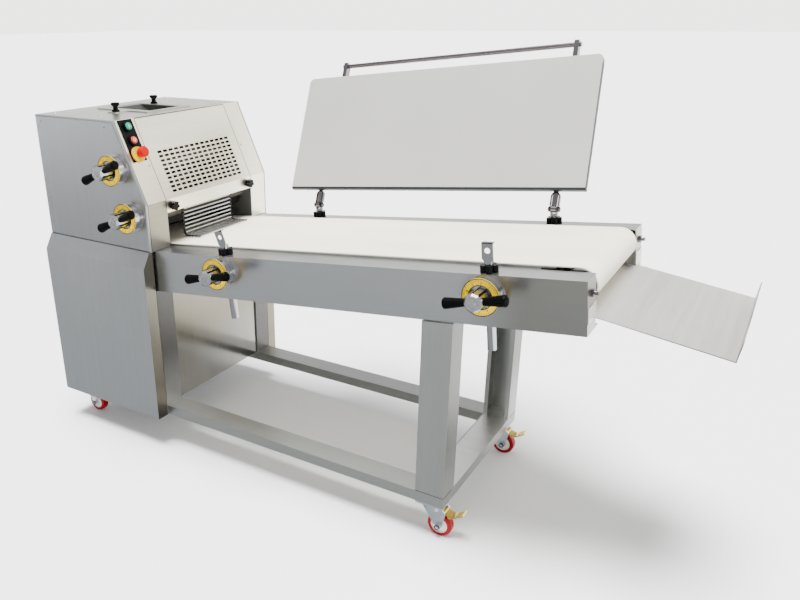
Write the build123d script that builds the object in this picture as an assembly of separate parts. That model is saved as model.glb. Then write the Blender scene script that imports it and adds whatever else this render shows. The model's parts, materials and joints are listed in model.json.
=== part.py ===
"""Long-loaf dough moulder on castors: sheeting head, tilted belt table, raised pressure board and tray.

Built in millimetres with +Z up. X runs along the machine towards the discharge, Y from the operator's
side to the rear. While the pieces are drawn, x = 0 is the cabinet face under the table, y = 0 the middle
plane and FLOOR the level of the floor. At the end everything is moved so that the origin is the middle
of the overall box, on the floor.
"""
from build123d import *
import os
from math import cos, radians, sin, sqrt, tan

# Sheet thicknesses and running clearances
SHEET = 2.0
FRAME_SHEET = 3.0
INNER_PLATE = 8.0
RUNNING = 0.05
FREE = 0.3

# Base: castors, lower frame, legs and cabinet
FLOOR = 13.0
CASTOR_TOP = 135.0
WHEEL_RADIUS = 40.0
WHEEL_WIDTH = 28.0
CASTOR_TRAIL = 27.0
FRAME_HEIGHT = 36.0
FRAME_HALF = 321.0
FRAME_WIDTH = 80.0
LEG_WIDTH = 94.0
LEG_LIP = 15.0
DISCHARGE_LEG = 1129.0
CABINET_LEFT = -512.0
CABINET_HALF = 371.0
CABINET_BOTTOM = 133.0
BEVEL_BOTTOM = 722.0

# Head
HEAD_HALF = 338.0
HEAD_RIGHT = 6.0
HEAD_BOTTOM = 776.0
HEAD_TOP = 1216.0
KNEE_Z = 943.0
BROW_X = -115.0
COVER_DEPTH = 9.0
COVER_BEND = 7.0
INNER_HALF = 238.0
INNER_LEFT = -330.0

# Guard and its slots
GUARD_HALF = 237.5
GUARD_TOP = 4.0
GUARD_LIP = 46.0
SLOT_COLUMNS = 14
SLOT_ROWS = 10
SLOT_PITCH = 28.0
SLOT_ROW_PITCH = 15.9
SLOT_LENGTH = 20.5
SLOT_HEIGHT = 9.0
SLOT_FIELD_MIDDLE = 203.0

# Infeed
INFEED_LEFT = -412.0
INFEED_RIGHT = -192.0
INFEED_HALF = 80.0
FLANGE_HALF = 115.0
FLANGE_SHEET = 3.0
CHUTE_BOTTOM = 1104.0
HOPPER_KNOBS = ((-283.0, -161.0), (-348.0, 99.0))

# Sheeting rollers: dial axes as (x, z), the rear roller of each pair stands behind its front one
DIAL_AXES = ((-109.0, 1057.0), (-58.0, 898.0))
ROLLER_RADIUS = 32.0
ROLLER_HALF = 232.0
SHAFT_RADIUS = 12.5
ECCENTRICITY = 6.0
NIP = 8.0
BUSH_RADIUS = 28.0
BUSH_LENGTH = 24.0
SPROCKET_RADIUS = 30.0
CHAIN_Y = 264.0
CHAIN_WIDTH = 6.0
CHAIN_THICK = 5.0

# Belt table, drawn in its own frame: s along the belt, y across, n upwards from the rail tops
TILT = 6.0
RAIL_TOP = 774.0
RAIL_HALF = 315.0
RAIL_HEIGHT = 145.0
RAIL_FLANGE = 100.0
RAIL_START = -340.0
RAIL_END = 1478.0
NOTCH_START = 1336.0
NOTCH_HALF = 236.0
HEAD_CUT = -110.0
HEAD_FLANGE = 22.0
BELT_HALF = 225.0
BELT_THICK = 3.0
BELT_TOP = 9.0
BELT_ROLLER = 44.7
END_ROLLER_S = 1434.0
DRIVE_ROLLER_S = -250.0

# Columns, crank drive and pressure board
COLUMN_S = (306.0, 1216.0)
COLUMN_Y = 286.0
COLUMN_RADIUS = 12.5
COLUMN_BOTTOM = -222.0
LOCK_KNOB_HEIGHT = 20.0
CRANK = 20.0
CRANK_REST = -60.0
CRANK_SLACK = 1.8
RAIL_DIAL_N = -50.0
HINGE_N = 46.0
PRESS_N = 23.0
BOARD_LEFT = 180.0
BOARD_RIGHT = 1312.0
BOARD_WIDTH = 452.0
BOARD_CORNER = 20.0
BOARD_THICK = 18.0
BOARD_SETBACK = 58.0
RAISED = 118.0
HANDLE_REACH = 45.0
HANDLE_S = (334.0, 1219.0)

# Adjusting dials
DIAL_RADIUS = 52.0
DIAL_BODY = 44.0
DIAL_DEPTH = 40.0
SCALE_THICK = 3.0
SPINDLE = 10.0
HUB_RADIUS = 27.0
HUB_LENGTH = 52.0
GRIP_SETBACK = 16.0
GRIP_START = 24.0
GRIP_END = 88.0
HEAD_HANDLE_TURN = 23.7
RAIL_HANDLE_TURN = 7.0

# Controls along the slope of the front strip, from the brow
CONTROL_TOP = 2.0
CONTROL_BOTTOM = 150.0
CONTROL_OUTER = 316.0
CONTROL_INNER = 252.0
BUTTONS = {"start_button": 28.0, "stop_button": 77.0}
ESTOP = 126.0
BUTTON_RADIUS = 12.5
BUTTON_TRAVEL = 4.0
ESTOP_RADIUS = 18.5
ESTOP_TRAVEL = 5.0

# Curling mat
MAT_BAR_X = -18.0
MAT_BAR_Z = 925.0
MAT_BAR_RADIUS = 7.0
MAT_HALF = 140.0
ROD_RADIUS = 3.6
ROD_PITCH = 14.0
MAT_TRAIL = 72.0
MAT_BEND = 18.0

# Tray
TRAY_LENGTH = 334.0
TRAY_SLOPE = 8.0
TRAY_HALF = 250.0
TRAY_LIP = 51.0
TRAY_DROP = 114.0
TRAY_TONGUE = 70.0


def block(x0, x1, y0, y1, z0, z1):
    """Box between two corners."""
    return Pos((x0 + x1) / 2, (y0 + y1) / 2, (z0 + z1) / 2) * Box(x1 - x0, y1 - y0, z1 - z0)


def bar_x(y, z, radius, x0, x1):
    """Round bar along X."""
    return Pos((x0 + x1) / 2, y, z) * Rot(0, 90, 0) * Cylinder(radius, x1 - x0)


def bar_y(x, z, radius, y0, y1):
    """Round bar along Y."""
    return Pos(x, (y0 + y1) / 2, z) * Rot(90, 0, 0) * Cylinder(radius, y1 - y0)


def bar_z(x, y, radius, z0, z1):
    """Round bar along Z."""
    return Pos(x, y, (z0 + z1) / 2) * Cylinder(radius, z1 - z0)


def prism_y(points, y0, y1):
    """Outline in X and Z drawn out along Y."""
    face = Plane.XZ * make_face(Polyline(*points, close=True))
    return Pos(0, y0, 0) * extrude(face, amount=y1 - y0, dir=(0, 1, 0))


def prism_x(points, x0, x1):
    """Outline in Y and Z drawn out along X."""
    face = Plane.YZ * make_face(Polyline(*points, close=True))
    return Pos(x0, 0, 0) * extrude(face, amount=x1 - x0, dir=(1, 0, 0))


def other_side(shape):
    """Copy of a piece on the far side of the middle plane."""
    return mirror(shape, about=Plane.XZ)


# Table frame, and the plane of the head's sloping front
TABLE = Pos(0, 0, RAIL_TOP) * Rot(0, -TILT, 0)
SLOPE_LENGTH = sqrt((HEAD_RIGHT - BROW_X) ** 2 + (HEAD_TOP - KNEE_Z) ** 2)
SLOPE_X = (HEAD_RIGHT - BROW_X) / SLOPE_LENGTH
SLOPE_Z = (KNEE_Z - HEAD_TOP) / SLOPE_LENGTH
SLOPE = Plane(origin=(BROW_X, 0, HEAD_TOP), x_dir=(0, 1, 0), z_dir=(-SLOPE_Z, 0, SLOPE_X))
BELT_INNER = BELT_ROLLER + FREE
ROLLER_N = BELT_TOP - BELT_THICK - BELT_INNER
DECK_UNDER = HEAD_TOP - SHEET


def slope_point(along, out):
    """Point (x, z) on the sloping front: distance down from the brow, distance outwards."""
    return BROW_X + along * SLOPE_X - out * SLOPE_Z, HEAD_TOP + along * SLOPE_Z + out * SLOPE_X


def slope_x_at(z, out):
    """Where the sloping front, moved outwards, crosses a height."""
    x0, z0 = slope_point(0, out)
    return x0 + (z - z0) * SLOPE_X / SLOPE_Z


def slope_z_at(x, out):
    """Where the sloping front, moved outwards, crosses an upright plane."""
    x0, z0 = slope_point(0, out)
    return z0 + (x - x0) * SLOPE_Z / SLOPE_X


def table_z(x):
    """Height of the rail tops' plane above a place on the floor."""
    return RAIL_TOP + x * tan(radians(TILT))


def bent_front(along_top, bottom, y0, y1):
    """Sheet that follows the sloping front, turns at the knee and ends upright."""
    inner_x = HEAD_RIGHT - SHEET
    outline = [
        slope_point(along_top, 0),
        (HEAD_RIGHT, KNEE_Z),
        (HEAD_RIGHT, bottom),
        (inner_x, bottom),
        (inner_x, slope_z_at(inner_x, -SHEET)),
        slope_point(along_top, -SHEET),
    ]
    return prism_y(outline, y0, y1)


def on_slope(along, y, shape):
    """Place a piece drawn along +Z so that it stands out of the sloping front."""
    return SLOPE * Pos(y, -along, 0) * shape


# Lower frame and legs
FRAME_BOTTOM = CASTOR_TOP
FRAME_TOP = CASTOR_TOP + FRAME_HEIGHT
FRAME_INNER = FRAME_HALF - FRAME_WIDTH
FRAME_LEFT = CABINET_LEFT + SHEET


def channel(x0, x1, y0, y1):
    """Lower frame member, open underneath."""
    wall = FRAME_SHEET
    hollow = block(x0 + wall, x1 - wall, y0 + wall, y1 - wall, FRAME_BOTTOM - 1, FRAME_TOP - wall)
    return block(x0, x1, y0, y1, FRAME_BOTTOM, FRAME_TOP) - hollow


def lower_frame():
    front = channel(FRAME_LEFT, DISCHARGE_LEG, -FRAME_HALF, -FRAME_INNER)
    right = channel(DISCHARGE_LEG - LEG_WIDTH, DISCHARGE_LEG, -FRAME_INNER, FRAME_INNER)
    left = channel(FRAME_LEFT, FRAME_LEFT + LEG_WIDTH, -FRAME_INNER, FRAME_INNER)
    return [front, other_side(front), right, left]


def leg(right):
    """Folded channel leg, open to the inside, cut to the slope of the rail above it."""
    left = right - LEG_WIDTH
    wall = FRAME_SHEET
    top = table_z(right)
    solid = block(left, right, -FRAME_HALF, -FRAME_INNER, FRAME_TOP, top)
    solid -= block(left + wall, right - wall, -FRAME_HALF + wall, -FRAME_INNER - wall, 0, top + 1)
    solid -= block(left + LEG_LIP, right - LEG_LIP, -FRAME_INNER - 2 * wall, -FRAME_INNER + 1, 0, top + 1)
    below_rail = TABLE * block(left - 200, right + 200, -FRAME_HALF, 0, -RAIL_TOP, -RAIL_HEIGHT)
    return solid & below_rail


def legs():
    front = [leg(0), leg(DISCHARGE_LEG)]
    return front + [other_side(piece) for piece in front]


def cabinet_panels():
    """Front and rear covers with bevelled tops, the end panel and the panel between the legs."""
    back = FRAME_HALF + SHEET
    head = HEAD_HALF
    outer = [
        (-CABINET_HALF, CABINET_BOTTOM),
        (-CABINET_HALF, BEVEL_BOTTOM),
        (-head, HEAD_BOTTOM),
        (-back, HEAD_BOTTOM),
        (-back, CABINET_BOTTOM),
    ]
    under = HEAD_BOTTOM - SHEET
    hollow = [
        (-CABINET_HALF + SHEET, CABINET_BOTTOM - 1),
        (-CABINET_HALF + SHEET, BEVEL_BOTTOM),
        (-head + SHEET, under),
        (-back + 1, under),
        (-back + 1, CABINET_BOTTOM - 1),
    ]
    front = prism_x(outer, CABINET_LEFT, 0) - prism_x(hollow, CABINET_LEFT + SHEET, -SHEET)
    gland_hole = bar_y(GLAND_X, GLAND_Z, GLAND_THREAD + RUNNING, CABINET_HALF - 10, CABINET_HALF + 10)
    rear = other_side(front) - gland_hole
    end = block(CABINET_LEFT, CABINET_LEFT + SHEET, -back, back, CABINET_BOTTOM, HEAD_BOTTOM)
    inner_top = table_z(0) - RAIL_HEIGHT / cos(radians(TILT)) - SHEET
    inner = block(-4 * SHEET, -3 * SHEET, -FRAME_INNER, FRAME_INNER, FRAME_TOP, inner_top)
    return [front, rear, end, inner]


# Castors
CASTOR_X = (FRAME_LEFT + LEG_WIDTH / 2, DISCHARGE_LEG - LEG_WIDTH / 2)
CASTOR_Y = FRAME_HALF - FRAME_WIDTH / 2
PLATE_BOTTOM = CASTOR_TOP - 6
RACE_BOTTOM = PLATE_BOTTOM - 5.5
KINGPIN = 8.0
NUT_TOP = 107.0
NUT_BOTTOM = 101.0
CHEEK_INNER = WHEEL_WIDTH / 2 + 3
CHEEK_OUTER = CHEEK_INNER + 4
AXLE = 6.0
WHEEL_Z = FLOOR + WHEEL_RADIUS
CHEEK_END = 11.0
PEDAL_X = 40.0
PEDAL_Z = 102.0
PEDAL_PIN = 4.0
PEDAL_SHEET = 4.0


def castor_plate():
    half = LEG_WIDTH / 2 - 1
    plate = block(-half, half, -FRAME_WIDTH / 2, FRAME_WIDTH / 2, PLATE_BOTTOM, CASTOR_TOP)
    plate += bar_z(0, 0, 30, RACE_BOTTOM, PLATE_BOTTOM)
    plate += bar_z(0, 0, KINGPIN, NUT_BOTTOM, PLATE_BOTTOM)
    return plate + bar_z(0, 0, 13, NUT_BOTTOM, NUT_TOP)


def castor_fork(with_brake):
    """Crown, two cheeks and the wheel's axle, with a cross pin where a brake pedal sits."""
    crown_top = RACE_BOTTOM - FREE
    crown_bottom = NUT_TOP + FREE
    fork = bar_z(0, 0, 32, crown_bottom, crown_top)
    outline = [Pos(CASTOR_TRAIL, WHEEL_Z) * Circle(CHEEK_END), Pos(0, crown_top - 6) * Rectangle(54, 12)]
    if with_brake:
        outline.append(Pos(PEDAL_X, PEDAL_Z) * Circle(8))
    edges = ShapeList(edge for piece in outline for edge in piece.edges())
    face = Plane.XZ * make_hull(edges)
    cheek = Pos(0, CHEEK_INNER, 0) * extrude(face, amount=CHEEK_OUTER - CHEEK_INNER, dir=(0, 1, 0))
    fork += cheek
    fork += other_side(cheek)
    fork += bar_y(CASTOR_TRAIL, WHEEL_Z, AXLE, -CHEEK_OUTER - 4, CHEEK_OUTER + 4)
    if with_brake:
        fork += bar_y(PEDAL_X, PEDAL_Z, PEDAL_PIN, -CHEEK_OUTER, CHEEK_OUTER)
    return fork - bar_z(0, 0, KINGPIN + RUNNING, crown_bottom - 1, crown_top + 1)


def castor_wheel():
    """Wheel with a rounded tread, a dished hub and a through bore."""
    half = WHEEL_WIDTH / 2
    wheel = bar_y(CASTOR_TRAIL, WHEEL_Z, WHEEL_RADIUS, -half, half)
    wheel = fillet(wheel.edges().filter_by(GeomType.CIRCLE), 5)
    for side in (-1, 1):
        dish = bar_y(CASTOR_TRAIL, WHEEL_Z, WHEEL_RADIUS - 13, half - 5, half + 1)
        dish -= bar_y(CASTOR_TRAIL, WHEEL_Z, AXLE + 7, half - 6, half + 2)
        wheel -= dish if side > 0 else other_side(dish)
    return wheel - bar_y(CASTOR_TRAIL, WHEEL_Z, AXLE + RUNNING, -WHEEL_WIDTH, WHEEL_WIDTH)


def brake_pedal():
    """Plate that falls from its pin and turns up to a foot tip, with a brake shoe above the tread."""
    half = CHEEK_INNER - 0.5
    side = trace(FilletPolyline((0, 0), (29, -8), (64, 14), radius=6), line_width=PEDAL_SHEET)
    plate = Pos(PEDAL_X, -half, PEDAL_Z) * extrude(Plane.XZ * side, amount=2 * half, dir=(0, 1, 0))
    shoe = Pos(PEDAL_X, 0, PEDAL_Z) * block(14, 22, -WHEEL_WIDTH / 2, WHEEL_WIDTH / 2, -14, -4)
    pedal = bar_y(PEDAL_X, PEDAL_Z, PEDAL_PIN + 3.5, -half, half) + plate + shoe
    return pedal - bar_y(PEDAL_X, PEDAL_Z, PEDAL_PIN + RUNNING, -half - 1, half + 1)


# Head: covers, hood, strips and inner plates
COVER_INNER = HEAD_HALF - COVER_DEPTH
INNER_OUTER = INNER_HALF + INNER_PLATE


def front_rollers():
    """Rest centres of the two adjustable rollers, hung below their dial axes."""
    return [(x, z - ECCENTRICITY) for x, z in DIAL_AXES]


def rear_rollers():
    """Centres of the two rollers that turn in fixed bearings."""
    return [(x - 2 * ROLLER_RADIUS - NIP, z) for x, z in front_rollers()]


def head_side_covers():
    """Side pans: a flat face with a turned edge all round. Dial spindles pass the front one."""
    outline = [
        (CABINET_LEFT, HEAD_BOTTOM),
        (HEAD_RIGHT, HEAD_BOTTOM),
        (HEAD_RIGHT, KNEE_Z),
        (BROW_X, HEAD_TOP),
        (CABINET_LEFT, HEAD_TOP),
    ]
    pan = prism_y(outline, -HEAD_HALF, -COVER_INNER)
    pan = fillet(pan.faces().sort_by(Axis.Y)[0].edges(), COVER_BEND)
    inside = Plane.XZ * offset(make_face(Polyline(*outline, close=True)), -SHEET, kind=Kind.INTERSECTION)
    hollow = Pos(0, -HEAD_HALF + SHEET, 0) * extrude(inside, amount=COVER_DEPTH, dir=(0, 1, 0))
    pan -= fillet(hollow.faces().sort_by(Axis.Y)[0].edges(), COVER_BEND - SHEET)
    rear = other_side(pan)
    for x, z in DIAL_AXES:
        pan -= bar_y(x, z, SPINDLE + 0.6, -HEAD_HALF - 1, -COVER_INNER)
    return [pan, rear]


def head_hood():
    """Top deck and back in one folded sheet, with the infeed opening."""
    outline = [
        (CABINET_LEFT, HEAD_BOTTOM),
        (CABINET_LEFT, HEAD_TOP),
        (BROW_X - SHEET, HEAD_TOP),
        (BROW_X - SHEET, DECK_UNDER),
        (CABINET_LEFT + SHEET, DECK_UNDER),
        (CABINET_LEFT + SHEET, HEAD_BOTTOM),
    ]
    hood = prism_y(outline, -COVER_INNER, COVER_INNER)
    margin = 2 * SHEET
    low, high = DECK_UNDER - 1, HEAD_TOP + 1
    left, right = INFEED_LEFT - margin, INFEED_RIGHT + margin
    hood -= block(left, right, -INFEED_HALF - margin, INFEED_HALF + margin, low, high)
    for x, y in HOPPER_KNOBS:
        hood -= bar_z(x, y, HOPPER_STUD + RUNNING, low, high)
    return [hood]


def head_inner_plates():
    """Upright plates that stand on the rails and carry the rollers."""
    right = HEAD_RIGHT - SHEET
    outline = [
        (INNER_LEFT, table_z(INNER_LEFT)),
        (right, table_z(right)),
        (right, slope_z_at(right, -SHEET)),
        (slope_x_at(DECK_UNDER, -SHEET), DECK_UNDER),
        (INNER_LEFT, DECK_UNDER),
    ]
    plate = prism_y(outline, -INNER_OUTER, -INNER_HALF)
    for x, z in DIAL_AXES:
        plate -= bar_y(x, z, BUSH_RADIUS + RUNNING, -INNER_OUTER - 1, -INNER_HALF + 1)
    for x, z in rear_rollers():
        plate -= bar_y(x, z, SHAFT_RADIUS + RUNNING, -INNER_OUTER - 1, -INNER_HALF + 1)
    return [plate, other_side(plate)]


def head_front_strips():
    """Fixed sheets on both sides of the guard. The operator's one has holes for the button stems."""
    strip = bent_front(0, HEAD_BOTTOM, -COVER_INNER, -INNER_HALF)
    rear = other_side(strip)
    for along in [*BUTTONS.values(), ESTOP]:
        strip -= on_slope(along, CONTROL_Y, bar_z(0, 0, STEM + RUNNING, -10, 5))
    return [strip, rear]


def infeed_chute():
    """Flange with an ear under each knob, and a funnel that leads down to the upper rollers."""
    top = HEAD_TOP + FLANGE_SHEET
    flange = block(INFEED_LEFT - 20, INFEED_RIGHT + 20, -FLANGE_HALF, FLANGE_HALF, HEAD_TOP, top)
    for x, y in HOPPER_KNOBS:
        flange += block(x - 20, x + 20, min(y - 20, 0), max(y + 20, 0), HEAD_TOP, top)
    for x, y in HOPPER_KNOBS:
        flange -= bar_z(x, y, HOPPER_STUD + RUNNING, HEAD_TOP - 1, HEAD_TOP + FLANGE_SHEET + 1)
    nip_x = front_rollers()[0][0] - ROLLER_RADIUS - NIP / 2
    mouth = ROLLER_RADIUS
    outer = [
        (INFEED_LEFT - SHEET, HEAD_TOP),
        (INFEED_RIGHT + SHEET, HEAD_TOP),
        (nip_x + mouth / 2, CHUTE_BOTTOM),
        (nip_x - mouth, CHUTE_BOTTOM),
    ]
    bottom = CHUTE_BOTTOM
    inner = [
        (INFEED_LEFT + SHEET, top),
        (INFEED_RIGHT - SHEET, top),
        (nip_x + mouth / 2 - 2 * SHEET, bottom),
        (nip_x - mouth + 2 * SHEET, bottom),
    ]
    chute = flange + prism_y(outer, -INFEED_HALF - SHEET, INFEED_HALF + SHEET)
    return [chute - prism_y(inner, -INFEED_HALF, INFEED_HALF)]


# Guard
HINGE_ALONG = 12.0
HINGE_IN = 8.0
HINGE_PIN = 4.0
GUARD_KNOB_Y = 214.0
GUARD_KNOB_Z = KNEE_Z - GUARD_LIP / 2
GUARD_STUD = 5.0


def guard_cover():
    """Slotted sheet with a turned-down lip and two ears round the hinge rod."""
    guard = bent_front(GUARD_TOP, KNEE_Z - GUARD_LIP, -GUARD_HALF, GUARD_HALF)
    places = GridLocations(SLOT_PITCH, SLOT_ROW_PITCH, SLOT_COLUMNS, SLOT_ROWS)
    slots = Sketch(children=places * Rectangle(SLOT_LENGTH, SLOT_HEIGHT))
    field = SLOPE * Pos(0, -SLOT_FIELD_MIDDLE, -2 * SHEET) * slots
    guard -= extrude(field, amount=4 * SHEET)
    pin_x, pin_z = slope_point(HINGE_ALONG, -HINGE_IN)
    reach = slope_point(HINGE_ALONG, -SHEET / 2)
    ear_outline = [
        slope_point(HINGE_ALONG - 6, -HINGE_IN),
        (reach[0] - 6 * SLOPE_X, reach[1] - 6 * SLOPE_Z),
        (reach[0] + 6 * SLOPE_X, reach[1] + 6 * SLOPE_Z),
        slope_point(HINGE_ALONG + 6, -HINGE_IN),
    ]
    ear = prism_y(ear_outline, 180, 200) + bar_y(pin_x, pin_z, 6, 180, 200)
    guard += ear
    guard += other_side(ear)
    guard -= bar_y(pin_x, pin_z, HINGE_PIN + RUNNING, -GUARD_HALF, GUARD_HALF)
    for side in (-1, 1):
        y = side * GUARD_KNOB_Y
        guard -= bar_x(y, GUARD_KNOB_Z, GUARD_STUD + RUNNING, HEAD_RIGHT - 10, HEAD_RIGHT + 10)
    return guard


def lobes(radius, lobe, count, height):
    """Star shape of a hand knob, drawn upwards."""
    star = Circle(radius - lobe)
    for place in PolarLocations(radius - lobe, count):
        star += place * Circle(lobe)
    return extrude(star, amount=height)


def guard_knob(y):
    head = lobes(16, 6, 5, 20)
    knob = Pos(HEAD_RIGHT + 4, y, GUARD_KNOB_Z) * Rot(0, 90, 0) * head
    knob += bar_x(y, GUARD_KNOB_Z, 9, HEAD_RIGHT, HEAD_RIGHT + 4)
    return knob + bar_x(y, GUARD_KNOB_Z, GUARD_STUD, HEAD_RIGHT - 10, HEAD_RIGHT + 4)


# Hopper knobs
HOPPER_STUD = 4.0


def hopper_knob():
    """Waisted clamp knob with a collar and a stud, drawn from the flange upwards."""
    profile = [(0, 0), (14, 0), (14, 6), (10, 7), (8, 16), (15, 24), (16, 28), (14, 32), (0, 33)]
    knob = revolve(Plane.XZ * make_face(Polyline(*profile, close=True)), Axis.Z)
    return knob + bar_z(0, 0, HOPPER_STUD, -12, 1)


# Controls
CONTROL_Y = -(CONTROL_OUTER + CONTROL_INNER) / 2
STEM = 5.0
PLATE = 2.0
BEZEL_TOP = PLATE + 8


def control_plate():
    """Black plate with a ring round each of the two flat buttons."""
    width = CONTROL_OUTER - CONTROL_INNER
    height = CONTROL_BOTTOM - CONTROL_TOP
    flat = Pos(0, 0, PLATE / 2) * Box(width, height, PLATE)
    plate = on_slope((CONTROL_TOP + CONTROL_BOTTOM) / 2, CONTROL_Y, flat)
    for along in [*BUTTONS.values(), ESTOP]:
        plate -= on_slope(along, CONTROL_Y, bar_z(0, 0, STEM + RUNNING, -1, 5))
    rings = []
    for along in BUTTONS.values():
        ring = bar_z(0, 0, BUTTON_RADIUS + 5, PLATE, BEZEL_TOP)
        ring -= bar_z(0, 0, BUTTON_RADIUS + FREE, PLATE - 1, BEZEL_TOP + 1)
        rings.append(on_slope(along, CONTROL_Y, ring))
    return [plate, *rings]


def push_button(along):
    low = PLATE + BUTTON_TRAVEL + 0.5
    cap = fillet(bar_z(0, 0, BUTTON_RADIUS, low, BEZEL_TOP + 4).edges().sort_by(Axis.Z)[-1], 2)
    return on_slope(along, CONTROL_Y, cap + bar_z(0, 0, STEM, -14, low))


COLLAR_RADIUS = 27.0
COLLAR_TOP = PLATE + 5


def estop_collar():
    collar = bar_z(0, 0, COLLAR_RADIUS, PLATE, COLLAR_TOP) - bar_z(0, 0, STEM + RUNNING, 0, COLLAR_TOP + 1)
    return [on_slope(ESTOP, CONTROL_Y, collar)]


def estop_button():
    """Mushroom head on a neck, with a thin stem behind the plate."""
    neck_low = COLLAR_TOP + ESTOP_TRAVEL + 0.5
    rim_low = neck_low + 12
    head = fillet(bar_z(0, 0, ESTOP_RADIUS, rim_low, rim_low + 18).edges().sort_by(Axis.Z)[-1], 6)
    button = head + bar_z(0, 0, 14, neck_low, rim_low) + bar_z(0, 0, STEM, -16, neck_low)
    return on_slope(ESTOP, CONTROL_Y, button)


# Dials, drawn with the mounting face at y = 0 and the front towards -Y
def dial_housing():
    housing = bar_y(0, 0, DIAL_RADIUS, -4, 0) + bar_y(0, 0, DIAL_BODY, -DIAL_DEPTH, -4)
    return housing - bar_y(0, 0, SPINDLE + RUNNING, -DIAL_DEPTH - 1, 1)


def dial_scale():
    front = -DIAL_DEPTH - SCALE_THICK
    return bar_y(0, 0, DIAL_RADIUS, front, -DIAL_DEPTH) - bar_y(0, 0, DIAL_RADIUS - 20, front - 1, 0)


def dial_handle(turn, inner_end):
    """T-handle: faceted hub with its spindle, and two tapered grips on short studs."""
    base = -DIAL_DEPTH - SCALE_THICK - 1
    front = base - HUB_LENGTH
    hub_face = Plane.XZ * RegularPolygon(HUB_RADIUS, 8)
    hub = Pos(0, front, 0) * extrude(hub_face, amount=HUB_LENGTH, dir=(0, 1, 0))
    hub = chamfer(hub.faces().sort_by(Axis.Y)[0].edges(), 5)
    hub += bar_y(0, 0, SPINDLE, base, inner_end)
    middle = front + GRIP_SETBACK
    stud = bar_x(0, 0, 6, -GRIP_START - 4, GRIP_START + 4)
    hub += Pos(0, middle, 0) * stud
    length = GRIP_END - GRIP_START
    grip = Rot(0, 90, 0) * Cone(10.5, 16.5, length)
    grip = fillet(grip.edges().sort_by(Axis.X)[-1], 6)
    grip = Pos((GRIP_START + GRIP_END) / 2, middle, 0) * grip
    grip -= Pos(0, middle, 0) * bar_x(0, 0, 6, 0, GRIP_START + 4)
    grip -= hub
    pieces = [hub, grip, mirror(grip, about=Plane.YZ)]
    return [Rot(0, -turn, 0) * piece for piece in pieces]


def head_dial_handle(axis):
    """Head dial: its spindle ends in an eccentric bush, with a like bush at the far plate."""
    x, z = axis
    pieces = dial_handle(HEAD_HANDLE_TURN, HEAD_HALF - INNER_OUTER - BUSH_LENGTH / 2)
    pieces = [Pos(x, -HEAD_HALF, z) * piece for piece in pieces]
    outer = INNER_HALF + BUSH_LENGTH
    bush = bar_y(x, z, BUSH_RADIUS, -outer, -INNER_HALF)
    bush -= bar_y(x, z - ECCENTRICITY, SHAFT_RADIUS + RUNNING, -outer + 6, -INNER_HALF + 1)
    pieces[0] = pieces[0] - bar_y(x, z, SPINDLE + 1, -outer, 0) + bush
    return pieces + [other_side(bush)]


# Sheeting rollers
def sheeting_roller(x, z, front_end, rear_end, with_sprocket):
    roller = bar_y(x, z, ROLLER_RADIUS, -ROLLER_HALF, ROLLER_HALF)
    roller += bar_y(x, z, SHAFT_RADIUS, front_end, rear_end)
    if with_sprocket:
        roller += bar_y(x, z, SPROCKET_RADIUS, CHAIN_Y, CHAIN_Y + CHAIN_WIDTH)
    return roller


def adjustable_roller(place):
    end = INNER_HALF + BUSH_LENGTH - 8
    return sheeting_roller(*place, -end, end, False)


def fixed_roller(place):
    return sheeting_roller(*place, -INNER_OUTER - 10, CHAIN_Y + CHAIN_WIDTH + 4, True)


def head_cross_bars():
    """Scraper blades under the rollers, the curling mat's bar and the guard's hinge rod."""
    bars = []
    for x, z in front_rollers() + rear_rollers():
        top = z - ROLLER_RADIUS - 0.5
        bars.append(block(x - SHEET / 2, x + SHEET / 2, -INNER_HALF, INNER_HALF, top - 25, top))
    bars.append(bar_y(MAT_BAR_X, MAT_BAR_Z, MAT_BAR_RADIUS, -INNER_HALF, INNER_HALF))
    bars.append(bar_y(*slope_point(HINGE_ALONG, -HINGE_IN), HINGE_PIN, -INNER_HALF, INNER_HALF))
    return bars


# Curling mat
def mat_path():
    """Centre line of the mat in X and Z: down from the bar, round a bend and along the belt."""
    rest_n = BELT_TOP + ROD_RADIUS + 0.5
    foot = table_z(MAT_BAR_X) + rest_n / cos(radians(TILT))
    corner = (MAT_BAR_X, foot)
    end = (MAT_BAR_X + MAT_TRAIL * cos(radians(TILT)), foot + MAT_TRAIL * sin(radians(TILT)))
    return FilletPolyline((MAT_BAR_X, MAT_BAR_Z - MAT_BAR_RADIUS - 1), corner, end, radius=MAT_BEND)


def curling_mat():
    """Cross rods held at both ends by ribbons whose upper ends are eyes on the bar."""
    path = mat_path()
    count = int(path.length / ROD_PITCH)
    mat = None
    ribbon_face = Plane.XZ * trace(path, line_width=1.6)
    eye = bar_y(MAT_BAR_X, MAT_BAR_Z, MAT_BAR_RADIUS + 2.5, -4, 4)
    ribbon = Pos(0, -4, 0) * extrude(ribbon_face, amount=8, dir=(0, 1, 0)) + eye
    ribbon -= bar_y(MAT_BAR_X, MAT_BAR_Z, MAT_BAR_RADIUS + 0.2, -5, 5)
    for y in (-MAT_HALF + 5, MAT_HALF - 5):
        piece = Pos(0, y, 0) * ribbon
        mat = piece if mat is None else mat + piece
    for index in range(1, count + 1):
        point = path.position_at(index * ROD_PITCH / path.length)
        mat += bar_y(point.X, point.Y, ROD_RADIUS, -MAT_HALF, MAT_HALF)
    return mat


# Drive in the cabinet
MOTOR_X = -260.0
MOTOR_Z = 430.0
GEAR_FACE = 230.0


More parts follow.
